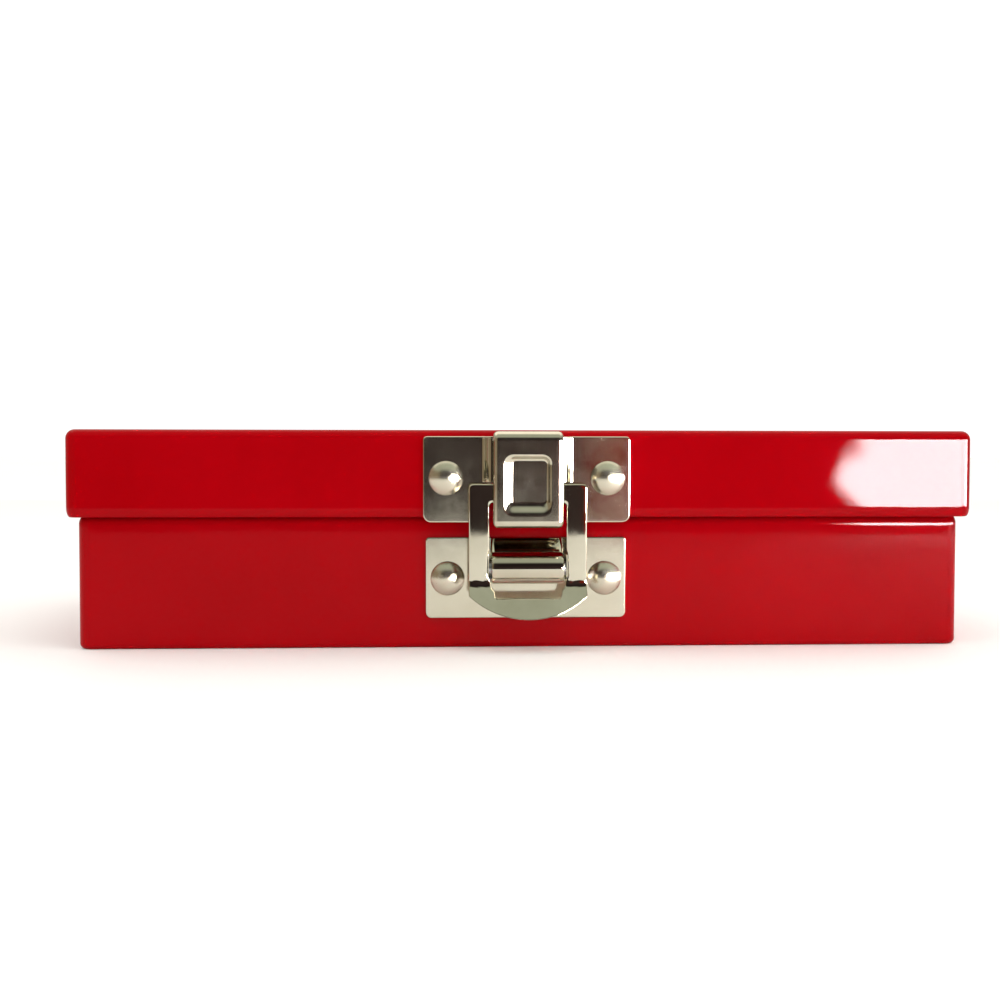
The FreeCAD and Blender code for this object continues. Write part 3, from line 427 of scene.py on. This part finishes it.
def build_base():
    low, top = BASE_LOW.z, BASE_HIGH.z
    rim_in = SHOULDER_STEP + COLLAR_LEAN
    half_hem, hem_foot = HEM / 2, top - HEM_HEIGHT
    inner = FLOOR_R - SHEET
    profile = [(FLOOR_R, low)]
    profile += turn(FLOOR_R, FLOOR_R, FLOOR_R, FLOOR_R, -82, -8, 8)
    profile += [(0.0, FLOOR_R), (0.0, SHOULDER - WALL_EASE)]
    profile += turn(SHOULDER_STEP, SHOULDER, SHOULDER_STEP, SHOULDER_RISE, 0, 85, 14)
    profile += [(SHOULDER_STEP, SHOULDER + SHOULDER_RISE + NUDGE)]
    profile += turn(rim_in + half_hem, top - half_hem, half_hem, half_hem, 0, 180, 12)
    profile += [(rim_in + HEM, hem_foot), (rim_in + SHEET, hem_foot)]
    profile += turn(SHEET + SHOULDER_STEP, SHOULDER, SHOULDER_STEP, SHOULDER_RISE - SHEET, 85, 0, 8)
    profile += turn(SHEET + inner, FLOOR_R, inner, inner, 0, -90, 6)
    base = pan("base_skin", BASE_LOW, BASE_HIGH, CORNER, profile)
    finish_piece(base, ENAMEL, "red_enamel", "base", "base_shell")


# ---------------------------------------------------------------- upper latch plate
KEEPER_LOW, KEEPER_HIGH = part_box("latch_keeper_plate")
PLATE_RIM = 0.32 * MM       # softened rims of both latch plates
PLATE_TOP = 46.6 * MM
PLATE_FOOT = 27.8 * MM
NOTCH_TOP = 36.1 * MM       # the plate is open below this, between its wings
NOTCH_R = 0.5 * MM
KEEPER_CORNERS = 1.7 * MM, 0.9 * MM         # lower, upper
BRIDGE_FOOT = 36.6 * MM
BRIDGE_FRONT = LID_LOW.y - 2.6 * MM
BRIDGE_HALF = 9.5 * MM
BRIDGE_GAP = 0.35 * MM      # its top is this much wider than the hood each side
# Half of the bridge's section: (inward from BRIDGE_HALF, forward of the wing), then
# (outward from its top's half width, back from its front), in mm.
BRIDGE_FOOT_BEND = ((-0.6, 0.0), (-0.25, 0.02), (0.1, 0.25), (0.45, 0.75))
BRIDGE_TOP_BEND = ((0.45, 0.35), (0.15, 0.08), (-0.2, 0.0))
CAP_TOP, CAP_FOOT, SHOULDERS_TOP = 0.02 * MM, 0.7 * MM, 0.3 * MM    # below the plate's top
HOOD_HALF = 7.6 * MM
HOOD_FRONT = KEEPER_LOW.y
HOOD_SHEET = LATCH_SHEET * 0.9              # drawn a little thinner than the plate
HOOD_ROLL = 1.15 * MM       # its side edges are rolled back by this
HOOD_ROWS, HOOD_COLUMNS = 110, 84           # fine enough for the pocket's corners
HEM_R = 1.4 * MM            # open hem at the hood's lower edge
LEDGE_TOP = 31.8 * MM       # the hem's return ends here, as the ledge that holds the lever
POCKET_DEPTH = 1.0 * MM
# x range, z range, corner radius
POCKET_MOUTH = ((-5.5 * MM, 5.05 * MM), (29.4 * MM, 42.6 * MM), 2.2 * MM)
POCKET_FLOOR = ((-3.3 * MM, 3.85 * MM), (32.3 * MM, 41.4 * MM), 0.5 * MM)


def outside(x, z, patch):
    """Distance outside a rounded rectangle, negative inside it."""
    (x0, x1), (z0, z1), r = patch
    dx = abs(x - (x0 + x1) / 2) - (x1 - x0) / 2 + r
    dz = abs(z - (z0 + z1) / 2) - (z1 - z0) / 2 + r
    return math.hypot(max(dx, 0.0), max(dz, 0.0)) + min(max(dx, dz), 0.0) - r


def pocket_depth(x, z):
    """Depth of the pressed pocket: 0 on the face, full inside the floor's outline."""
    from_mouth = max(-outside(x, z, POCKET_MOUTH), 0.0)
    from_floor = max(outside(x, z, POCKET_FLOOR), 0.0)
    if from_mouth == 0.0:
        return 0.0
    return POCKET_DEPTH * smooth_step(from_mouth / (from_mouth + from_floor))


def build_hood():
    """Tongue: up from the bridge, over the fold, down the face, round the hem to the ledge."""
    rear = BRIDGE_FRONT + LATCH_SHEET
    fold_r = (rear - HOOD_FRONT) / 2
    fold = (rear - fold_r, KEEPER_HIGH.z - fold_r)
    hem = (HOOD_FRONT + HEM_R, KEEPER_LOW.z + HEM_R)
    face = fold[1] - hem[1]
    path = [((rear, BRIDGE_FOOT + NUDGE), (1.0, 0.0))]
    path += facing_arc(fold, fold_r, 0, 180, 20)
    path += [((HOOD_FRONT, fold[1] - face * i / HOOD_ROWS), (-1.0, 0.0))
             for i in range(1, HOOD_ROWS)]
    path += facing_arc(hem, HEM_R, 180, 360, 16)
    path += [((hem[0] + HEM_R, LEDGE_TOP), (1.0, 0.0))]
    across = rolled_across(HOOD_HALF, HOOD_ROLL, HOOD_ROLL, HOOD_COLUMNS)
    return give_thickness(pressed_strip("hood", path, across, pocket_depth), HOOD_SHEET, 60.0)


def build_bridge():
    """Raised shoulders either side of the hood, standing up from the wings, and their top."""
    wing = LID_LOW.y - LATCH_SHEET
    half_top = HOOD_HALF + BRIDGE_GAP
    section = [(-BRIDGE_HALF + x * MM, wing - y * MM) for x, y in BRIDGE_FOOT_BEND]
    section += [(-half_top - x * MM, BRIDGE_FRONT + y * MM) for x, y in BRIDGE_TOP_BEND]
    section += [(-x, y) for x, y in reversed(section)]
    n = len(section)
    verts = [(x, y, z) for z in (BRIDGE_FOOT, PLATE_TOP - SHOULDERS_TOP) for x, y in section]
    faces = [(i, i + 1, n + i + 1, n + i) for i in range(n - 1)]
    shoulders = give_thickness(add_mesh("bridge", verts, faces, PRESSED_ANGLE), LATCH_SHEET, 60.0)
    top = prism("bridge_top", [(x, y, PLATE_TOP - CAP_TOP) for x, y in section[2:-2]],
                [(x, y, PLATE_TOP - CAP_FOOT) for x, y in section[2:-2]], flip=True)
    soften_edges(top, 0.2 * MM, 60.0)
    return [shoulders, top]


def build_keeper():
    outline = plate_outline(KEEPER_HIGH.x, PLATE_FOOT, PLATE_TOP, *KEEPER_CORNERS)
    outline += arc((-BRIDGE_HALF - NOTCH_R, PLATE_FOOT + NOTCH_R), NOTCH_R, -90, 0, 4)
    outline += [(-BRIDGE_HALF, NOTCH_TOP), (BRIDGE_HALF, NOTCH_TOP)]
    outline += arc((BRIDGE_HALF + NOTCH_R, PLATE_FOOT + NOTCH_R), NOTCH_R, 180, 270, 4)
    wings = plate("wings", outline, LID_LOW.y - LATCH_SHEET, LID_LOW.y)
    keeper = join("upper_latch_plate", [wings, *build_bridge(), build_hood()],
                  [PLATE_NICKEL, NICKEL, NICKEL, PLATE_NICKEL])
    finish_piece(keeper, None, "nickel_plate", "lid", "latch_keeper_plate")


# ---------------------------------------------------------------- lower latch plate
STRIKE_LOW, STRIKE_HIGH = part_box("latch_strike_plate")
PIVOT = next(Vector(j["pos_m"]) for j in frame["joints"] if j["name"] == "latch_lever_pivot")
STRIKE_CORNERS = 1.3 * MM, 0.8 * MM
BARREL_HALF = 7.8 * MM
BARREL_ROLL = 0.75 * MM     # its ends are rolled in over this width
BARREL_SINK = 0.35 * BARREL_ROLL            # and by this depth
BARREL_COLUMNS = 12
BARREL_LIP = 1.2 * MM       # the rolled barrel ends this far behind its axis
TONGUE_FACING, BARREL_FACING = 138, 98      # degrees, above and below the crease between them
CREASE_Z = 21.45 * MM


def bow(start, end, steps):
    """Smooth curve between two facing points, ends left out."""
    (p0, n0), (p1, n1) = start, end
    pull = 0.4 * math.dist(p0, p1)
    a = (p0[0] - n0[1] * pull, p0[1] + n0[0] * pull)
    b = (p1[0] + n1[1] * pull, p1[1] - n1[0] * pull)
    points = []
    for i in range(1, steps):
        t = i / steps
        u = 1 - t
        point = [u ** 3 * p + 3 * u * u * t * q + 3 * u * t * t * r + t ** 3 * s
                 for p, q, r, s in zip(p0, a, b, p1)]
        along = [u * u * (q - p) + 2 * u * t * (r - q) + t * t * (s - r)
                 for p, q, r, s in zip(p0, a, b, p1)]
        length = math.hypot(*along)
        points.append((tuple(point), (along[1] / length, -along[0] / length)))
    return points


def build_strike():
    """Lower plate, and the tongue that folds off its top edge and rolls into the barrel."""
    top = STRIKE_HIGH.z
    face = BASE_LOW.y - LATCH_SHEET
    outline = plate_outline(STRIKE_HIGH.x, STRIKE_LOW.z, top, *STRIKE_CORNERS)
    flat = plate("lower_plate", outline, face, BASE_LOW.y)
    barrel_r = PIVOT.y - STRIKE_LOW.y
    tip = 180 + math.degrees(math.acos(-BARREL_LIP / (barrel_r - LATCH_SHEET / 2)))
    path = [((BASE_LOW.y - NUDGE, top), (0.0, 1.0))]
    path += facing_arc((face, top - LATCH_SHEET), LATCH_SHEET, 90, TONGUE_FACING, 8)
    (y, z), facing = path[-1]
    path.append(((y - (z - CREASE_Z) * facing[1] / -facing[0], CREASE_Z), facing))
    barrel = facing_arc((PIVOT.y, PIVOT.z), barrel_r, BARREL_FACING, tip, 40)
    path += bow(path[-1], barrel[0], 8) + barrel
    across = rolled_across(BARREL_HALF, BARREL_ROLL, BARREL_SINK, BARREL_COLUMNS)
    tongue = give_thickness(pressed_strip("barrel", path, across), LATCH_SHEET, 50.0)
    strike = join("lower_latch_plate", [flat, tongue], [PLATE_NICKEL, NICKEL])
    finish_piece(strike, None, "nickel_plate", "base", "latch_strike_plate")


# ---------------------------------------------------------------- lever
LEVER_HALF, LEVER_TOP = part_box("latch_lever")[1].x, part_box("latch_lever")[1].z
LEVER_THICK = 1.0 * MM
LEVER_BACK = LID_LOW.y - 3.15 * MM
LEVER_RIM = 0.42 * MM       # rounded rims
LEVER_FLATS = 10            # rows across the flat between two rims
OUTER_R = 0.9 * MM          # top corners of the ring
TAB_FOLD = 15.6 * MM
TAB_LEAN = math.radians(32.0)
TAB_STRETCH = 1 / math.cos(TAB_LEAN)        # from heights seen in front to lengths on the tab
TAB_BEND = 0.9 * MM         # length of the bend
TAB_SIDE_Z = TAB_FOLD - 3.0 * MM * TAB_STRETCH      # foot of the tab's straight sides
TAB_TIP_Z = TAB_FOLD - 7.8 * MM * TAB_STRETCH
WINDOW_Z = TAB_FOLD - 3.5 * MM * TAB_STRETCH        # lower edge of the window
WINDOW_TOP = 32.2 * MM
WINDOW_R = 1.0 * MM         # top corners of the window
WINDOW_HALF = 8.35 * MM     # between the arms
WINDOW_FOOT_HALF = 6.9 * MM
# The window widens upward from its foot: (starts at, over a height of, by).
WINDOW_FLARES = ((WINDOW_Z, 0.9 * MM, 0.45 * MM), (13.2 * MM, 1.0 * MM, 0.65 * MM),
                 (15.0 * MM, 1.5 * MM, 0.35 * MM))
# It is wider still beside the ears, between these heights.
EAR_LOW, EAR_HIGH, EAR_FADE, EAR_ROOM = 15.2 * MM, 22.2 * MM, 1.2 * MM, 0.3 * MM
EAR_R = 3.2 * MM
EAR_WIDTH = 1.0 * MM
EAR_BITE = 0.35 * MM        # the ears run this far into the ring
HEEL_GAP = 0.15 * MM        # their heels stop this far from the lower plate


def lever_bend(x, z, depth):
    """Places a point of the flat lever pattern, depth in front of its back. The tab turns out
    below the fold."""
    if z >= TAB_FOLD:
        return (x, LEVER_BACK - depth, z)
    run = TAB_FOLD - z
    drop, push = 0.0, 0.0
    steps = 8
    for i in range(steps):
        lean = TAB_LEAN * smooth_step(run * (i + 0.5) / steps / TAB_BEND)
        drop += math.cos(lean) * run / steps
        push += math.sin(lean) * run / steps
    lean = TAB_LEAN * smooth_step(run / TAB_BEND)
    return (x, LEVER_BACK - push - depth * math.cos(lean), TAB_FOLD - drop - depth * math.sin(lean))


def window_half(z):
    """Half width of the window at height z."""
    flares = sum(by * smooth_step((z - start) / over) for start, over, by in WINDOW_FLARES)
    ear = smooth_step((z - EAR_LOW) / EAR_FADE) * smooth_step((EAR_HIGH - z) / EAR_FADE)
    return WINDOW_FOOT_HALF + flares + EAR_ROOM * ear


def lever_loops():
    """Matching outer and inner loops of the flat ring, anticlockwise from the lower left corner."""
    foot_steps, side_rows, corner_steps, top_steps = 28, 40, 6, 8
    rise = TAB_SIDE_Z - TAB_TIP_Z
    radius = (LEVER_HALF ** 2 + rise ** 2) / (2 * rise)
    sweep = math.degrees(math.asin(LEVER_HALF / radius))
    outer = arc((0.0, TAB_TIP_Z + radius), radius, -90 - sweep, -90 + sweep, foot_steps)
    inner = [(-WINDOW_FOOT_HALF + 2 * WINDOW_FOOT_HALF * i / foot_steps, WINDOW_Z)
             for i in range(foot_steps + 1)]

    outer_run, inner_run = LEVER_TOP - OUTER_R - TAB_SIDE_Z, WINDOW_TOP - WINDOW_R - WINDOW_Z
    heights = [WINDOW_Z + inner_run * i / side_rows for i in range(1, side_rows)]
    right_out = [(LEVER_HALF, TAB_SIDE_Z + outer_run * i / side_rows) for i in range(1, side_rows)]
    right_out += arc((LEVER_HALF - OUTER_R, LEVER_TOP - OUTER_R), OUTER_R, 0, 90, corner_steps)
    right_in = [(window_half(z), z) for z in heights]
    right_in += arc((WINDOW_HALF - WINDOW_R, WINDOW_TOP - WINDOW_R), WINDOW_R, 0, 90, corner_steps)

    for loop, right, reach, top in ((outer, right_out, LEVER_HALF - OUTER_R, LEVER_TOP),
                                    (inner, right_in, WINDOW_HALF - WINDOW_R, WINDOW_TOP)):
        loop += right
        loop += [(reach - 2 * reach * i / top_steps, top) for i in range(1, top_steps)]
        loop += [(-x, z) for x, z in reversed(right)]
    return outer, inner


def build_ring():
    """The ring as a section of rounded rims and flats, swept round between its two loops."""
    outer, inner = lever_loops()
    turns = [math.radians(a) for a in range(0, 91, 15)]
    edge = [(LEVER_RIM * (1 - math.cos(t)), LEVER_RIM * (1 - math.sin(t))) for t in turns]
    # One row per (share of the way across, distance in from that side's rim, depth).
    front = [(0, d, LEVER_THICK - sink) for d, sink in edge]
    front += [(i / LEVER_FLATS, LEVER_RIM, LEVER_THICK) for i in range(1, LEVER_FLATS)]
    front += [(1, d, LEVER_THICK - sink) for d, sink in reversed(edge)]
    rows = front + [(share, d, LEVER_THICK - depth) for share, d, depth in reversed(front)]
    verts = []
    for share, d, depth in rows:
        for (xo, zo), (xi, zi) in zip(outer, inner):
            width = math.hypot(xi - xo, zi - zo)
            along = (d + share * (width - 2 * d)) / width
            verts.append(lever_bend(xo + (xi - xo) * along, zo + (zi - zo) * along, depth))
    n = len(outer)
    faces = []
    for r in range(len(rows)):
        a, c = r * n, (r + 1) % len(rows) * n
        faces += [(a + i, a + (i + 1) % n, c + (i + 1) % n, c + i) for i in range(n)]
    return settle_normals(add_mesh("ring", verts, faces, 50.0))


def build_ear(sign):
    """Side ear that carries the pin: rounded at the top, square heel against the lower plate."""
    heel = BASE_LOW.y - LATCH_SHEET - HEEL_GAP
    front = LEVER_BACK - EAR_BITE
    outline = [(front, PIVOT.z - EAR_R), (heel, PIVOT.z - EAR_R), (heel, PIVOT.z)]
    outline += arc((PIVOT.y, PIVOT.z), EAR_R, 8, 90, 8)
    outline += [(front, PIVOT.z + EAR_R)]
    near, far = [[(sign * x, y, z) for y, z in outline]
                 for x in (WINDOW_HALF, WINDOW_HALF + EAR_WIDTH)]
    ear = prism("ear", near, far, flip=sign > 0)
    soften_edges(ear, 0.18 * MM, 50.0)
    return settle_normals(ear)


def build_lever():
    lever = join("latch_ring_lever", [build_ring(), build_ear(-1), build_ear(1)])
    finish_piece(lever, NICKEL, "nickel_plate", "latch_lever", "latch_lever")


# ---------------------------------------------------------------- latch rivets
RIVET_HEAD = 2.1 * MM
RIVET_RIM = 0.35 * MM       # upright rim under the dome
TAIL_START = 1.6 * MM       # the clinched end starts this far behind the head
# (radius in mm, share of the clinched end's length); the last rings close its bore
RIVET_TAIL = ((2.8, 0.0), (2.8, 0.4), (2.4, 0.9), (1.9, 1.0), (1.3, 0.95), (1.0, 0.5), (0.02, 0.3))


def dome_profile(radius):
    """Rivet head: short upright rim, then a dome."""
    rise = RIVET_HEAD - RIVET_RIM
    sphere = (radius ** 2 + rise ** 2) / (2 * rise)
    start = math.degrees(math.asin(radius / sphere))
    profile = [(radius - CUT_EDGE, 0.0), (radius, NUDGE)]
    for i in range(12):
        a = math.radians(start * (1 - i / 12))
        profile.append((sphere * math.sin(a), RIVET_HEAD - sphere + sphere * math.cos(a)))
    profile.append((0.02 * MM, RIVET_HEAD))
    return profile


def build_rivets():
    for part, body in (("keeper", "lid"), ("strike", "base")):
        for side in ("left", "right"):
            node = f"latch_{part}_rivet_{side}"
            low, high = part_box(node)
            under = Vector(((low.x + high.x) / 2, low.y + RIVET_HEAD, (low.z + high.z) / 2))
            head = lathe(node + "_head", under, -1, dome_profile((high.x - low.x) / 2))
            behind = Vector((under.x, under.y + TAIL_START, under.z))
            reach = high.y - behind.y
            tail = lathe(node + "_tail", behind, 1, [(r * MM, reach * s) for r, s in RIVET_TAIL])
            rivet = join(node + "_skin", [head, tail])
            finish_piece(rivet, RIVET_NICKEL, "nickel_plate", body, node)


# ---------------------------------------------------------------- tray and small fittings
TRAY_LOW, TRAY_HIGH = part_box("tray_shell")
TRAY_CORNER = 4.7 * MM
TRAY_WALL = 0.7 * MM
TRAY_RIM = 1.4 * MM         # wall and rolled rim together
TRAY_BEAD = 1.0 * MM        # radius of the rolled rim
TRAY_FLOOR_R = 1.6 * MM


def build_tray():
    low, top = TRAY_LOW.z, TRAY_HIGH.z
    inset, bead_foot = TRAY_RIM - TRAY_WALL, top - 2 * TRAY_BEAD
    inner = TRAY_FLOOR_R - TRAY_WALL
    profile = [(inset + TRAY_FLOOR_R, low)]
    profile += turn(inset + TRAY_FLOOR_R, low + TRAY_FLOOR_R, TRAY_FLOOR_R, TRAY_FLOOR_R, -82, 0, 8)
    profile += [(inset, bead_foot - 0.3 * MM), (inset - NUDGE, bead_foot)]
    profile += turn(TRAY_BEAD, top - TRAY_BEAD, TRAY_BEAD, TRAY_BEAD, -60, 150, 14)
    profile += [(TRAY_RIM + 0.05 * MM, top - 1.2 * MM), (TRAY_RIM, top - 2.2 * MM)]
    profile += turn(TRAY_RIM + inner, low + TRAY_FLOOR_R, inner, inner, 0, -90, 6)
    tray = pan("tray_skin", TRAY_LOW, TRAY_HIGH, TRAY_CORNER, profile)
    finish_piece(tray, ENAMEL, "red_enamel", "tray", "tray_shell")


def dress(node, material):
    """A CAD node shown as it is, with its own material."""
    obj = frame["nodes"][node]
    obj.data.materials.clear()
    obj.data.materials.append(material)


def dress_cad_nodes():
    for side in ("left", "right"):
        for piece in ("lid_leaf", "base_leaf", "lid_rivets", "base_rivets"):
            dress(f"hinge_{side}_{piece}", NICKEL)
        dress(f"hinge_{side}_pin", PIN_STEEL)
        dress(f"tray_divider_{side}", ZINC)
    for end in ("front", "rear"):
        dress(f"tray_rail_{end}", ENAMEL)
    dress("tray_handle_partition", ZINC)
    dress("tray_partition_rivets", RIVET_METAL)
    dress("latch_pin", PIN_STEEL)
    dress("latch_spring", SPRING_STEEL)


# ---------------------------------------------------------------- studio
FLOOR_HALF = 4.0
ROOM_X, ROOM_FRONT, ROOM_BACK, ROOM_TOP, ROOM_CORNER = 0.55, -0.45, 0.75, 0.60, 0.15
ROOM_SECTION = ((0.0, -0.002), (0.0, 0.52), (0.04, 0.58), (0.12, ROOM_TOP))   # (inset, height)
# Colours of the glowing room shell, seen by glossy rays alone: painted reflections.
DIM_FRONT_REFLECTION = ((0.012, 0.008, 0.009), (0.060, 0.042, 0.040))
RED_REFLECTION = (0.26, 0.02, 0.008)
TAN_WALL_REFLECTION = (0.34, 0.27, 0.18)
REAR_WALL_REFLECTION = (0.55, 0.52, 0.45)
HIGH_WALL_REFLECTION = (0.56, 0.60, 0.50)
OVERHEAD_REFLECTION = (1.7, 1.63, 1.45)
WINDOW_REFLECTION = (185.0, 178.0, 181.0)
# Place of the painted window reflection on the room shell.
WINDOW_LEFT, WINDOW_SILL, WINDOW_HEAD = 0.196, 0.006, 0.070
WINDOW_RAGGED = 0.05        # how far its left edge wanders
LAMPS = (("soft_top_light", (0.1, -0.25, 0.9), (0.9, 0.7), 1.6, (1.0, 0.98, 0.95)),
         ("soft_side_light", (0.8, -0.7, 0.5), (0.5, 0.5), 0.9, (1.0, 0.99, 0.97)))
LAMP_AIM = Vector((0, 0, 0.02))
CAMERA_PLACE = (-0.0235, -0.3605, 0.0452)
PITCH_DOWN, TURN_LEFT, ROLL = 2.34, -3.30, -0.1     # degrees


def ramp(tree, value, start, end):
    """Smooth 0..1 as value goes from start to end."""
    node = tree.nodes.new("ShaderNodeMapRange")
    node.interpolation_type = "SMOOTHSTEP"
    node.inputs["From Min"].default_value = start
    node.inputs["From Max"].default_value = end
    tree.links.new(value, node.inputs["Value"])
    return node.outputs["Result"]


def product(tree, *values):
    out = values[0]
    for value in values[1:]:
        node = tree.nodes.new("ShaderNodeMath")
        node.operation = "MULTIPLY"
        tree.links.new(out, node.inputs[0])
        tree.links.new(value, node.inputs[1])
        out = node.outputs[0]
    return out


def layer(tree, factor, below, colour):
    """colour laid over the colour socket below."""
    node = tree.nodes.new("ShaderNodeMix")
    node.data_type = "RGBA"
    node.clamp_result = False
    tree.links.new(factor, node.inputs["Factor"])
    tree.links.new(below, node.inputs["A"])
    node.inputs["B"].default_value = (*colour, 1.0)
    return node.outputs["Result"]


def window_reflection_mask(tree, coords, x, y, z):
    """1 on the painted window reflection: ragged left edge, soft sill and head, uneven brightness.
    """
    ragged = tree.nodes.new("ShaderNodeMath")
    ragged.operation = "MULTIPLY_ADD"
    tree.links.new(noise(tree, coords, scale=30.0, detail=1.0), ragged.inputs[0])
    ragged.inputs[1].default_value = WINDOW_RAGGED
    tree.links.new(x, ragged.inputs[2])
    edge = WINDOW_LEFT + WINDOW_RAGGED / 2
    return product(tree, ramp(tree, ragged.outputs[0], edge - 0.004, edge + 0.014),
                   ramp(tree, z, WINDOW_SILL, WINDOW_SILL + 0.004),
                   ramp(tree, z, WINDOW_HEAD + 0.02, WINDOW_HEAD), ramp(tree, y, -0.05, -0.15),
                   spread(tree, noise(tree, coords, scale=14.0, detail=2.0), 0.55, 1.1))


def reflection_room_glow():
    """Painted reflections on a shell that glows though it is no lamp, seen by glossy rays only: a
    dim room ahead with a red patch in it, a tan wall left, paler walls behind and above, a bright
    ceiling and a bright window on the right."""
    mat = bpy.data.materials.new("painted reflection room")
    mat.use_nodes = True
    tree = mat.node_tree
    tree.nodes.clear()
    coords = tree.nodes.new("ShaderNodeTexCoord").outputs["Object"]
    split = tree.nodes.new("ShaderNodeSeparateXYZ")
    tree.links.new(coords, split.inputs["Vector"])
    x, y, z = split.outputs
    patches = spread(tree, noise(tree, coords, scale=9.0, detail=3.0), 0.0, 1.0)
    colour = two_tone(tree, patches, *DIM_FRONT_REFLECTION)
    # Painted red reflection in the dim room ahead.
    red_reflection_mask = product(tree, ramp(tree, x, 0.056, 0.066), ramp(tree, x, 0.15, 0.12),
                        ramp(tree, z, 0.09, 0.06))
    overhead_reflection_mask = product(tree, ramp(tree, z, 0.50, 0.58), ramp(tree, y, -0.16, 0.02))
    for mask, tint in ((red_reflection_mask, RED_REFLECTION), (ramp(tree, x, -0.16, -0.42), TAN_WALL_REFLECTION),
                       (ramp(tree, y, -0.20, 0.15), REAR_WALL_REFLECTION),
                       (ramp(tree, z, 0.28, 0.52), HIGH_WALL_REFLECTION), (overhead_reflection_mask, OVERHEAD_REFLECTION),
                       (window_reflection_mask(tree, coords, x, y, z), WINDOW_REFLECTION)):
        colour = layer(tree, mask, colour, tint)
    glow = tree.nodes.new("ShaderNodeEmission")
    tree.links.new(colour, glow.inputs["Color"])
    out = tree.nodes.new("ShaderNodeOutputMaterial")
    tree.links.new(glow.outputs["Emission"], out.inputs["Surface"])
    return mat


def build_floor_and_reflection_room():
    """Plain floor, and a glowing room shell that only glossy rays see, which paints the
    reflections.
    """
    floor = add_mesh("floor", [(x * FLOOR_HALF, y * FLOOR_HALF, 0)
                               for x, y in ((-1, -1), (1, -1), (1, 1), (-1, 1))], [(0, 1, 2, 3)])
    floor.data.materials.append(pale_floor())
    rings = []
    for inset, z in ROOM_SECTION:
        flat = rounded_rect(-ROOM_X + inset, ROOM_X - inset, ROOM_FRONT + inset, ROOM_BACK - inset,
                            ROOM_CORNER - inset)
        rings.append([(x, y, z) for x, y in flat])
    room = skin_rings("painted_reflection_room", rings, first_cap=False)
    room.data.materials.append(reflection_room_glow())
    # The shell glows though it is no lamp; hidden from camera, diffuse light and shadow, it only
    # paints reflections.
    room.visible_camera = False
    room.visible_diffuse = False
    room.visible_shadow = False


def build_light():
    world = bpy.data.worlds.new("studio")
    bpy.context.scene.world = world
    world.use_nodes = True
    background = world.node_tree.nodes["Background"]
    background.inputs["Color"].default_value = (1.0, 1.0, 1.0, 1.0)
    background.inputs["Strength"].default_value = 1.15
    bpy.context.scene.view_settings.view_transform = "Standard"
    for name, place, size, power, colour in LAMPS:
        data = bpy.data.lights.new(name, "AREA")
        data.shape = "RECTANGLE"
        data.size, data.size_y = size
        data.energy = power
        data.color = colour
        lamp = bpy.data.objects.new(name, data)
        bpy.context.scene.collection.objects.link(lamp)
        lamp.location = place
        lamp.rotation_euler = (LAMP_AIM - Vector(place)).to_track_quat("-Z", "Y").to_euler()
        lamp.visible_camera = False
        lamp.visible_glossy = False


def build_camera():
    data = bpy.data.cameras.new("camera")
    data.sensor_width = 36.0
    data.lens = 50.4
    data.clip_start = 0.01
    camera = bpy.data.objects.new("camera", data)
    bpy.context.scene.collection.objects.link(camera)
    camera.location = CAMERA_PLACE
    camera.rotation_euler = [math.radians(a) for a in (90 - PITCH_DOWN, ROLL, TURN_LEFT)]
    bpy.context.scene.camera = camera


build_lid()
build_base()
build_keeper()
build_strike()
build_lever()
build_rivets()
build_tray()
dress_cad_nodes()
build_floor_and_reflection_room()
build_light()
build_camera()

bpy.context.view_layer.update()
